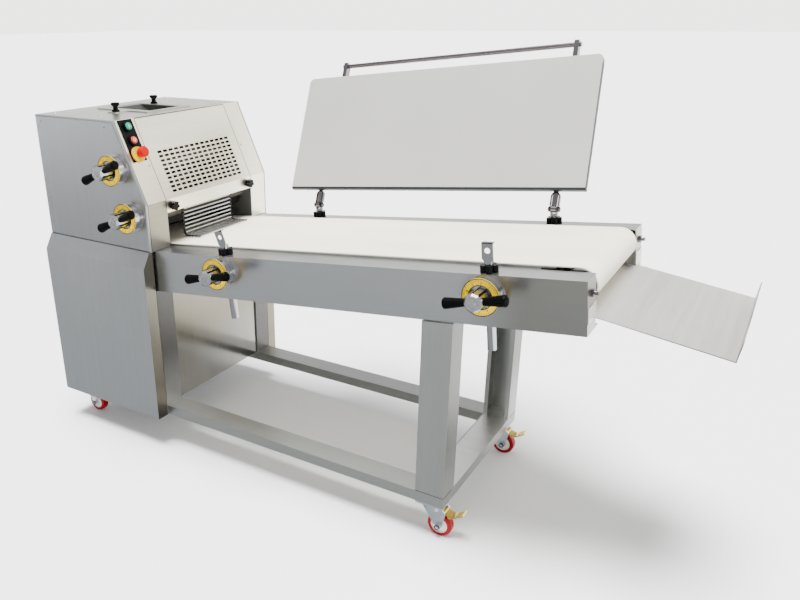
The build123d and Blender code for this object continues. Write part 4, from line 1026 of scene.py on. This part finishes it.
class MOULDER_OT_pressure_board(Operator):
    """Pressure board with its edge trim, straps, handle bar and front columns"""
    bl_idname = "moulder.pressure_board"
    bl_label = "Pressure board"

    def execute(self, context):
        settings = context.scene.moulder
        colours = settings.colours
        directions = board_directions()
        paint(grained_board("board_grey", colours.board, colours.board_edge, directions[2]), "pressure_board")
        paint(hook_finish("column_steel", settings), "front_columns")
        paint(machined_steel("bar_steel", settings.steel.bars, 0.2), "board_frame")
        dark = moulded_plastic("trim_dark", [value / 2 for value in colours.board_edge], 0.45, gloss=0.2)
        keep_solid("board_trim", self.edge_trim(directions), dark, "board", "black_plastic", 0.5 * MM)
        return {"FINISHED"}

    def edge_trim(self, directions):
        """Channel along the board's hinged edge and a thin one up its end at the tray."""
        (left, right), (low, high), (back, front) = (span("pressure_board", way) for way in directions)
        proud, height, corner = 0.8 * MM, 8.0 * MM, 30 * MM
        joined = bmesh.new()
        for u0, u1, v0, v1 in ((left, right, low - proud, low + height),
                               (right - proud, right + proud, low, high - corner)):
            outline = ((u0, v0), (u1, v0), (u1, v1), (u0, v1))
            prism(joined, outline, directions, back - proud, front + proud)
        return joined


class MOULDER_OT_hinges(Operator):
    """Forked rear columns with their pins, and the stirrups that hang the board on them"""
    bl_idname = "moulder.hinges"
    bl_label = "Board hinges"

    def execute(self, context):
        settings = context.scene.moulder
        hinges = settings.hinges
        steel = machined_steel("hinge_steel", settings.steel.hinges, 0.16)
        swing = joint_place("board_swing")
        nut_seat = hinges.stirrup_half + 0.2 * MM
        posts, stirrups, nuts = bmesh.new(), bmesh.new(), []
        for end in ("left", "right"):
            foot = joint_place(f"lock_knob_rear_{end}_turn")
            pin = foot + OUT_OF_TABLE * (swing - foot).dot(OUT_OF_TABLE)
            self.post(posts, foot, pin, hinges)
            self.stirrup(stirrups, pin, hinges)
            nuts += [(pin + way * nut_seat, way) for way in (ALONG_TABLE, -ALONG_TABLE)]
        slot = SLOT_OF["rear_columns"]
        piece = keep_solid("rear_posts", posts, steel, "rear_lift", slot, 0.6 * MM)
        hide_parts("rear_columns")
        keep_solid("board_stirrups", stirrups, steel, "board", SLOT_OF["board_frame"], 0.8 * MM)
        head, bore = (hinges.nut, 4.5 * MM, 6), (3.0 * MM, 1.5 * MM, 24)
        fasten("hinge_nuts", nuts, "rear_lift", slot, steel, head, bore)
        return {"FINISHED"}

    def post(self, joined, foot, pin, hinges):
        """Drawn rod with a waisted neck, a fork and the pin through it."""
        rod, neck, shoulder, ear = hinges.rod, hinges.neck, hinges.shoulder, hinges.ear
        height, middle = foot.dot(OUT_OF_TABLE), foot.dot(ALONG_TABLE)
        bottom = span("rear_columns", OUT_OF_TABLE)[0] - height
        chamfer, waist, neck_top = 1 * MM, 3 * MM, 6 * MM
        profile = ((0, bottom), (rod - chamfer, bottom), (rod, bottom + chamfer), (rod, shoulder),
                   (neck, shoulder + waist), (neck, shoulder + neck_top), (0, shoulder + neck_top))
        lathe(joined, profile, foot, OUT_OF_TABLE, REAR)
        rise = (pin - foot).dot(OUT_OF_TABLE)
        seat, floor = shoulder + 4 * MM, rise - hinges.lug - 3 * MM
        cheek = [(-ear, seat), *((-u, rise + v) for u, v in arc(ear, HALF_TURN, 16)), (ear, seat)]
        # The base lies a little inside the ears, so that no two faces share a plane
        within = 0.3 * MM
        half, inset = ear - within, hinges.fork_inner + 1.0 * MM
        base = ((-half, seat + within), (-half, floor), (half, floor), (half, seat + within))
        for outline, start, end in ((cheek, -hinges.fork_half, -hinges.fork_inner),
                                    (cheek, hinges.fork_inner, hinges.fork_half), (base, -inset, inset)):
            places = [(y + foot.y, rise_here + height) for y, rise_here in outline]
            prism(joined, places, (REAR, OUT_OF_TABLE, ALONG_TABLE), middle + start, middle + end)
        reach = hinges.stirrup_half + 0.4 * MM
        pin_profile = ((0, -reach), (hinges.pin, -reach), (hinges.pin, reach), (0, reach))
        lathe(joined, pin_profile, pin, ALONG_TABLE, REAR)

    def stirrup(self, joined, pin, hinges):
        """Bow of flat steel whose ends sit on the pin."""
        directions = board_directions()
        along, up, face = (pin.dot(way) for way in directions)
        outer, reach, foot = hinges.stirrup_half, hinges.stirrup_reach, -hinges.ear
        inner = outer - hinges.stirrup_thick
        outline = [(outer, foot), *((u, reach + v) for u, v in arc(outer, HALF_TURN, 20)), (-outer, foot),
                   (-inner, foot), *((-u, reach + v) for u, v in arc(inner, HALF_TURN, 20)), (inner, foot)]
        half = hinges.stirrup_depth / 2
        prism(joined, [(u + along, v + up) for u, v in outline], directions, face - half, face + half)


class MOULDER_OT_rollers(Operator):
    """Sheeting rollers behind the guard, made near black as painted shade"""
    bl_idname = "moulder.rollers"
    bl_label = "Sheeting rollers"

    def execute(self, context):
        # Painted shade: the rollers inside the head are near black
        finish = moulded_plastic("roller_plastic", context.scene.moulder.colours.roller, 0.4)
        for level in ("upper", "lower"):
            paint(finish, f"{level}_front_roller", f"{level}_rear_roller")
        return {"FINISHED"}


class MOULDER_OT_knobs(Operator):
    """Black hand knobs on the columns, guard and infeed"""
    bl_idname = "moulder.knobs"
    bl_label = "Hand knobs"

    def execute(self, context):
        finish = moulded_plastic("knob_black", context.scene.moulder.colours.black, 0.36, gloss=0.09)
        columns = [f"lock_knob_{side}_{end}" for side in ("front", "rear") for end in ("left", "right")]
        clamps = [f"{owner}_knob_{side}" for owner in ("guard", "hopper") for side in ("front", "rear")]
        paint(finish, *columns, *clamps)
        return {"FINISHED"}


class MOULDER_OT_controls(Operator):
    """Control plate, push buttons with their marks, and the emergency stop"""
    bl_idname = "moulder.controls"
    bl_label = "Controls"

    def execute(self, context):
        colours = context.scene.moulder.colours
        for name, base, roughness, gloss, node in (
                ("plate_black", colours.black, 0.40, 0.1, "control_plate"),
                ("collar_yellow", colours.collar, 0.35, 0.03, "estop_collar"),
                ("start_green", colours.start, 0.28, 0.25, "start_button"),
                ("stop_red", colours.stop, 0.28, 0.25, "stop_button"),
                ("mushroom_red", colours.mushroom, 0.3, 0.05, "estop_button")):
            paint(moulded_plastic(name, base, roughness, gloss), node)
        white = moulded_plastic("mark_white", colours.mark, 0.4)
        reach, wire = 5.0 * MM, 0.9 * MM
        bar = [(0, -reach), (0, reach)]
        ring = arc(reach, WHOLE_TURN, 32)[:-1]
        for node, line, closed in (("start_button", bar, False), ("stop_button", ring, True)):
            place = self.top_of(node)
            mesh = tubes(node, [[place @ Vector((x, y, 0)) for x, y in line]], wire, closed)
            keep(f"{node}_mark", mesh, BODY_OF[node], SLOT_OF[node], white)
        return {"FINISHED"}

    def top_of(self, node):
        """Middle of a button's cap, as a frame with Z outwards."""
        cap_from = span(node, OUT_OF_SLOPE)[1] - 0.1 * MM
        cap = [corner for corner in corners_of(node) if corner.dot(OUT_OF_SLOPE) > cap_from]
        return frame_at(sum(cap, Vector()) / len(cap), OUT_OF_SLOPE, REAR)


class MOULDER_OT_dials(Operator):
    """Dial housings, scale rings with lines and numbers, and T-handles"""
    bl_idname = "moulder.dials"
    bl_label = "Dials"

    def execute(self, context):
        settings = context.scene.moulder
        dials = settings.dials
        paint(machined_steel("housing_steel", settings.steel.polished), "dial_housings")
        paint(scale_finish("scale_yellow", settings.colours.scale), "dial_scales")
        ink = moulded_plastic("scale_ink", settings.colours.black, 0.45)
        faces = dial_faces(dials)
        for joint, body, _, _ in faces:
            node = BODIES[body][0]
            paint(handle_finish(f"{node}_finish", joint_place(joint), settings), node)
        sizes = {"Outer radius": dials.outer, "Inner radius": dials.inner, "Count": dials.mark_count,
                 "Length": dials.mark_length, "Width": dials.mark_width, "Height": 0.4 * MM, "Material": ink}
        rings = [ring for _, _, ring, _ in faces]
        places = [(ring, FRONT) for ring in rings]
        grow("dial_scale_lines", scale_mark_tree(), places, sizes, "machine", "black_plastic")
        keep("dial_numbers", self.numbers(dials, rings), "machine", "black_plastic", ink)
        return {"FINISHED"}

    def numbers(self, dials, rings):
        """Numbers round each ring, reading outwards from the middle."""
        joined = bmesh.new()
        from_edge, proud = 2.5 * MM, 0.1 * MM
        radius = dials.inner + from_edge + dials.numeral / 2
        for centre in rings:
            for digit in range(dials.numeral_count):
                angle = WHOLE_TURN * digit / dials.numeral_count
                out = Vector((sin(angle), 0, cos(angle)))
                glyph = self.glyph(str(digit), dials.numeral)
                glyph.transform(frame_at(centre + out * radius + FRONT * proud, FRONT, out.cross(FRONT)))
                joined.from_mesh(glyph)
                bpy.data.meshes.remove(glyph)
        mesh = bpy.data.meshes.new("dial_numbers")
        joined.to_mesh(mesh)
        joined.free()
        return mesh

    def glyph(self, word, height):
        text = bpy.data.curves.new("number", "FONT")
        text.body = word
        text.size = height
        text.extrude = 0.15 * MM
        text.align_x = "CENTER"
        text.align_y = "CENTER"
        text.resolution_u = 3
        return plain_mesh(linked("number", text))


class MOULDER_OT_castors(Operator):
    """Castor wheels, forks, plates, axle nuts and brake pedals"""
    bl_idname = "moulder.castors"
    bl_label = "Castors"

    def execute(self, context):
        settings = context.scene.moulder
        colours = settings.colours
        zinc = zinc_plate("castor_zinc", settings.steel.zinc)
        nut_steel = machined_steel("nut_steel", settings.steel.bars, 0.25)
        paint(zinc, "castor_plates", *(f"castor_fork_{corner}" for corner in CASTORS))
        for corner in CASTORS:
            centre = joint_place(f"roll_{corner}")
            paint(wheel_finish(f"wheel_{corner}_finish", centre, colours), f"castor_wheel_{corner}")
            self.axle_nuts(corner, centre, settings.fasteners.nut_radius, nut_steel)
        brass = machined_steel("pedal_brass", colours.pedal, 0.3)
        for corner in BRAKED:
            paint(brass, f"brake_pedal_{corner}")
            self.pedal_ridges(corner, brass)
        return {"FINISHED"}

    def axle_nuts(self, corner, centre, radius, steel):
        low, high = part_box(f"castor_fork_{corner}")
        proud = 4.0 * MM
        sides = ((low.y + proud, FRONT), (high.y - proud, REAR))
        places = [(Vector((centre.x, side, centre.z)), way) for side, way in sides]
        head, bore = (radius, 4.8 * MM, 6), (6.05 * MM, 5.0 * MM, 24)
        fasten(f"axle_nuts_{corner}", places, f"castor_{corner}", "zinc", steel, head, bore)

    def pedal_ridges(self, corner, brass):
        """Ridges on the turned-up foot tip and on the plate behind it."""
        pivot = joint_place(f"brake_{corner}")
        bend, tip = Vector((29, 0, -8)) * MM, Vector((64, 0, 14)) * MM
        half_plate = 2.0 * MM
        plate, foot = (Vector(), bend, (0.40, 0.55, 0.70)), (bend, tip, (0.40, 0.54, 0.68, 0.82))
        places = []
        for start, end, stops in (plate, foot):
            up = (end - start).normalized().cross(REAR)
            places += [(pivot + start.lerp(end, stop) + up * half_plate, up) for stop in stops]
        sizes = {"Length": 29.0 * MM, "Height": 1.1 * MM, "Material": brass}
        grow(f"pedal_ridges_{corner}", ridge_tree(), places, sizes, f"pedal_{corner}", "pedal_brass")


class MOULDER_OT_curling_mat(Operator):
    """Curling mat of steel rods and links, hanging from its bar"""
    bl_idname = "moulder.curling_mat"
    bl_label = "Curling mat"

    def execute(self, context):
        settings = context.scene.moulder
        mat = settings.mat
        bar = joint_place("mat_swing")
        start = bar - UP * (mat.bar_radius + 0.8 * MM)
        foot = Vector((bar.x, bar.y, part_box("curling_mat")[0].z + mat.rod_radius))
        path = bpy.data.meshes.new("mat_path")
        path.from_pydata([start, foot, foot + ALONG_TABLE * mat.trail], [(0, 1), (1, 2)], [])
        steel = mat_finish("mat_steel", bar, mat.half_width - 2 * mat.edge, settings.steel)
        sizes = {"Rod radius": mat.rod_radius, "Rod pitch": mat.rod_pitch, "Half width": mat.half_width,
                 "Bend": mat.bend, "Link width": mat.link_width, "Link thickness": mat.link_thick,
                 "Link rows": mat.link_rows, "Edge": mat.edge, "Eye radius": mat.eye_radius,
                 "Bar radius": mat.bar_radius, "Bar rise": (bar - start).length, "Material": steel}
        piece = grow("curling_mat_rods", curling_mat_tree(), path, sizes, "mat", "polished")
        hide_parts("curling_mat")
        return {"FINISHED"}


class MOULDER_OT_drive(Operator):
    """Gear motor, chain and cable gland in the cabinet"""
    bl_idname = "moulder.drive"
    bl_label = "Drive"

    def execute(self, context):
        colours = context.scene.moulder.colours
        paint(painted_casting("motor_grey", colours.motor), "gear_motor")
        paint(machined_steel("chain_oiled", colours.chain, 0.35), "drive_chain", "motor_sprocket")
        paint(moulded_plastic("gland_black", colours.black, 0.4), "cable_gland")
        return {"FINISHED"}


class MOULDER_OT_louvres(Operator):
    """Air louvres of the cabinet's rear cover"""
    bl_idname = "moulder.louvres"
    bl_label = "Louvres"

    def execute(self, context):
        settings = context.scene.moulder
        louvres = settings.louvres
        low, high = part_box("cabinet_panels")
        middle = (low.x + high.x) / 2
        steel = brushed_sheet("louvre_sheet", settings.steel.cool, settings.steel, "x")
        black = moulded_plastic("slit_black", settings.colours.black, 0.6, gloss=0.1)
        for name, drop, sunk, radius, finish in (
                ("louvre_hoods", 0.0, 1.2 * MM, louvres.radius, steel),
                ("louvre_slits", louvres.radius, 0.9 * MM, louvres.slit, black)):
            heights = [louvres.lowest + row * louvres.pitch - drop for row in range(louvres.rows)]
            places = [(Vector((middle, high.y - sunk, height)), REAR) for height in heights]
            sizes = {"Length": louvres.length, "Radius": radius, "Material": finish}
            grow(name, louvre_tree(), places, sizes, "machine", SLOT_OF["cabinet_panels"])
        return {"FINISHED"}


class MOULDER_OT_fasteners(Operator):
    """Sheet screws and hub caps"""
    bl_idname = "moulder.fasteners"
    bl_label = "Fasteners"

    def execute(self, context):
        settings = context.scene.moulder
        sizes = settings.fasteners
        steel = machined_steel("screw_steel", settings.steel.polished, 0.3)
        head, bore = (sizes.screw_radius, sizes.screw_height, 20), (sizes.socket_radius, 1.6 * MM, 6)
        fasten("sheet_screws", self.sheet_screws(), "machine", "polished", steel, head, bore)
        head, bore = (sizes.cap_radius, 3.0 * MM, 32), (4.6 * MM, 2.0 * MM, 6)
        for _, body, _, hub in dial_faces(settings.dials):
            fasten(f"{body}_cap", [(hub, FRONT)], body, "handle", steel, head, bore)
        return {"FINISHED"}

    def sheet_screws(self):
        """Screws at the corners of the covers, on the deck, the strips, the rear cover and the end panel."""
        low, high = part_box("head_side_covers")
        base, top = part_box("cabinet_panels")
        middle = (low.y + high.y) / 2
        cover_screws = ((31, 418), (356, 420), (20, 142))
        deck_screws, deck_half = (55, 293), 290 * MM
        strip_half, strip_drop = 253 * MM, 170 * MM
        edge = 30 * MM
        places = []
        for side, way in ((low.y, FRONT), (high.y, REAR)):
            places += [(Vector((low.x + x * MM, side, low.z + z * MM)), way) for x, z in cover_screws]
        for side in (-1, 1):
            places += [(Vector((low.x + x * MM, middle + side * deck_half, high.z)), UP) for x in deck_screws]
        for side in (-1, 1):
            strip = brow() + DOWN_SLOPE * strip_drop + REAR * (middle + side * strip_half)
            places.append((strip, OUT_OF_SLOPE))
        for z in (base.z + edge, (base.z + top.z) / 2 - edge, top.z - 80 * MM):
            places += [(Vector((x, top.y, z)), REAR) for x in (base.x + 22 * MM, top.x - 22 * MM)]
            places += [(Vector((base.x, y, z)), -RIGHT) for y in (base.y + 40 * MM, top.y - 40 * MM)]
        for y in (low.y + edge, high.y - edge):
            places += [(Vector((low.x, y, z)), -RIGHT) for z in (low.z + edge, high.z - edge)]
        return places


class MOULDER_OT_seams(Operator):
    """Dark sealing beads beside the guard and along the covers' front edges, dark lines round the right legs'
    ends, those under the rails a painted shadow, and dark caps that paint shade in the legs' tops
    """
    bl_idname = "moulder.seams"
    bl_label = "Seams"

    def execute(self, context):
        settings = context.scene.moulder
        black = moulded_plastic("seam_black", settings.colours.black, 0.6, gloss=0.1)
        # The lines under the rails are a painted shadow of the rails' lower edges on the legs
        mesh = tubes("seams", self.head_edges() + self.leg_ends(), 0.9 * MM)
        keep("seams_and_shadow_lines", mesh, "machine", "black_plastic", black)
        # Painted shade: the caps are near black, standing in for the shade in the legs' open tops
        cap_sheet = brushed_sheet("cap_sheet", settings.steel.inside, settings.steel, "x")
        keep_solid("leg_caps", self.leg_caps(), cap_sheet, "machine", SLOT_OF["legs"], 0.8 * MM)
        return {"FINISHED"}

    def head_edges(self):
        """Lines down the outer edges of the front strips and down both sides of the guard."""
        (near, far), (left, right) = (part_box(node) for node in ("head_front_strips", "guard_cover"))
        top = brow()
        knee = top + DOWN_SLOPE * ((far.x - top.x) / DOWN_SLOPE.x)
        foot = Vector((far.x, 0, near.z + 1.0 * MM))
        lip = Vector((far.x, 0, knee.z - 28 * MM))
        strip, guard = (top, knee, foot), (top + DOWN_SLOPE * 5 * MM, knee, lip)
        inset, apart = 1.0 * MM, 1.4 * MM
        edges = ((strip, near.y + inset), (strip, far.y - inset),
                 (guard, left.y - apart), (guard, right.y + apart))
        return [[point + REAR * edge for point in line] for line, edge in edges]

    def right_legs(self):
        """Box of the legs, and the left side of the right pair."""
        low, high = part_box("legs")
        middle = (low.x + high.x) / 2
        return low, high, min(corner.x for corner in corners_of("legs") if corner.x > middle)

    def leg_caps(self):
        """Plates just inside the sloping tops of the right legs, made near black as painted shade."""
        low, high, left = self.right_legs()
        wall, deep, sunk, thick = 3.4 * MM, 74 * MM, 12 * MM, 4 * MM
        slope = ALONG_TABLE.z / ALONG_TABLE.x
        ends = [(x, high.z - (high.x - x) * slope - sunk) for x in (left + wall, high.x - wall)]
        outline = (*ends, *((x, z + thick) for x, z in reversed(ends)))
        joined = bmesh.new()
        for start, end in ((low.y + wall, low.y + deep), (high.y - deep, high.y - wall)):
            prism(joined, outline, (RIGHT, UP, REAR), start, end)
        return joined

    def leg_ends(self):
        """Lines round the outer sides of the right legs, on the lower frame and under the rails; those under the
        rails are a painted shadow.
        """
        low, high, left = self.right_legs()
        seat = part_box("lower_frame")[1].z
        under = span("side_rails", OUT_OF_TABLE)[0] - 1.0 * MM
        deep = 60 * MM
        ends = []
        for outer, inner in ((low.y, low.y + deep), (high.y, high.y - deep)):
            corners = ((left, outer), (high.x, outer), (high.x, inner))
            ends.append([Vector((x, y, seat)) for x, y in corners])
            ends.append([Vector((x, y, (under - x * OUT_OF_TABLE.x) / OUT_OF_TABLE.z)) for x, y in corners])
        return ends


class MOULDER_OT_studio(Operator):
    """Pale floor, soft lights and the camera"""
    bl_idname = "moulder.studio"
    bl_label = "Studio"

    def execute(self, context):
        studio = context.scene.moulder.studio
        self.ground("floor", studio.floor_colour, (-60, -60), (60, 60), 0.0)
        self.cards(studio.card_colour)
        self.walls(context, studio)
        self.key(studio)
        self.camera(context, studio)
        return {"FINISHED"}

    def ground(self, name, base, low, high, height):
        """A level sheet of the stage."""
        mesh = bpy.data.meshes.new(name)
        corners = ((low[0], low[1]), (high[0], low[1]), (high[0], high[1]), (low[0], high[1]))
        mesh.from_pydata([(x, y, height) for x, y in corners], [], [(0, 1, 2, 3)])
        finish = Finish(f"{name}_pale")
        shade = finish.tones(finish.noise(0.6), base, 0.985, 1.0)
        mesh.materials.append(finish.surface(Base_Color=shade, Roughness=0.9))
        sheet = linked(name, mesh)
        return sheet

    def cards(self, base):
        """Dark cards before the operator's side and between the legs, which only mirrored light meets."""
        for name, low, high in (("shade_card", (-9.0, -9.0), (2.6, -0.42)),
                                ("bay_card", (-0.6, -0.42), (0.43, -0.12))):
            card = self.ground(name, base, low, high, 1 * MM)
            card.visible_camera = False
            card.visible_diffuse = False
            card.visible_shadow = False

    def walls(self, context, studio):
        """Low bright wall behind the machine, a tall one beyond the tray, a dim one before it, a ceiling."""
        world = bpy.data.worlds.new("studio")
        world.use_nodes = True
        world.node_tree.nodes.clear()
        sheet = Sheet(world.node_tree)
        way = sheet.node("ShaderNodeTexCoord")["Generated"]
        height = sheet.split(way)[2]
        behind, beyond = (sheet.dot(way, (cos(radians(turn)), sin(radians(turn)), 0.0)) for turn in (75, 40))
        wall = sheet.mix(behind.spread(-0.4, 0.2), rgba(studio.dim_wall), rgba(studio.bright_wall))
        top = height - beyond.spread(0.45, 0.85) * 0.30
        tone = sheet.mix(top.spread(0.05, 0.22), wall, rgba(studio.ceiling))
        seen = sheet.node("ShaderNodeLightPath")["Is Camera Ray"]
        tone = sheet.mix(seen, tone, rgba(studio.bright_wall, 0.9))
        glow = sheet.node("ShaderNodeBackground", {"Color": tone, "Strength": studio.wall_strength})
        sheet.node("ShaderNodeOutputWorld", {"Surface": glow["Background"]})
        context.scene.world = world

    def key(self, studio):
        lamp = bpy.data.lights.new("key", "SUN")
        lamp.energy = studio.key_strength
        lamp.angle = studio.key_width
        holder = linked("key", lamp)
        holder.location = (-1.0, 0.5, 4.0)
        aim = Vector((0.05, 0.07, -0.98))
        holder.rotation_euler = aim.to_track_quat("-Z", "Y").to_euler()

    def camera(self, context, studio):
        eye = bpy.data.cameras.new("camera")
        eye.lens = studio.lens
        eye.shift_x, eye.shift_y = studio.shift
        eye.clip_end = 200.0
        holder = linked("camera", eye)
        holder.location = studio.camera_place
        holder.rotation_euler = studio.camera_turn
        context.scene.camera = holder


PIECES = (MOULDER_OT_sheet_metal, MOULDER_OT_belt, MOULDER_OT_tray, MOULDER_OT_pressure_board,
          MOULDER_OT_hinges, MOULDER_OT_rollers, MOULDER_OT_knobs, MOULDER_OT_controls, MOULDER_OT_dials,
          MOULDER_OT_castors, MOULDER_OT_curling_mat, MOULDER_OT_drive, MOULDER_OT_louvres,
          MOULDER_OT_fasteners, MOULDER_OT_seams, MOULDER_OT_studio)


class MOULDER_PT_sidebar(Panel):
    """Lists the pieces and the studio"""
    bl_idname = "MOULDER_PT_sidebar"
    bl_label = "Dough moulder"
    bl_space_type = "VIEW_3D"
    bl_region_type = "UI"
    bl_category = "Moulder"

    def draw(self, context):
        for piece in PIECES:
            self.layout.operator(piece.bl_idname)
        for group in MoulderSettings.__annotations__:
            box = self.layout.box()
            values = getattr(context.scene.moulder, group)
            for name in values.__annotations__:
                box.prop(values, name)


CLASSES = (StudioSettings, SteelSettings, ColourSettings, FastenerSettings, DialSettings, MatSettings,
           LouvreSettings, HingeSettings, MoulderSettings, *PIECES, MOULDER_PT_sidebar)


def register():
    for entry in CLASSES:
        bpy.utils.register_class(entry)
    bpy.types.Scene.moulder = PointerProperty(type=MoulderSettings)


def unregister():
    del bpy.types.Scene.moulder
    for entry in reversed(CLASSES):
        bpy.utils.unregister_class(entry)


def main():
    register()
    for piece in PIECES:
        group, name = piece.bl_idname.split(".")
        getattr(getattr(bpy.ops, group), name)()


if __name__ == "__main__":
    main()
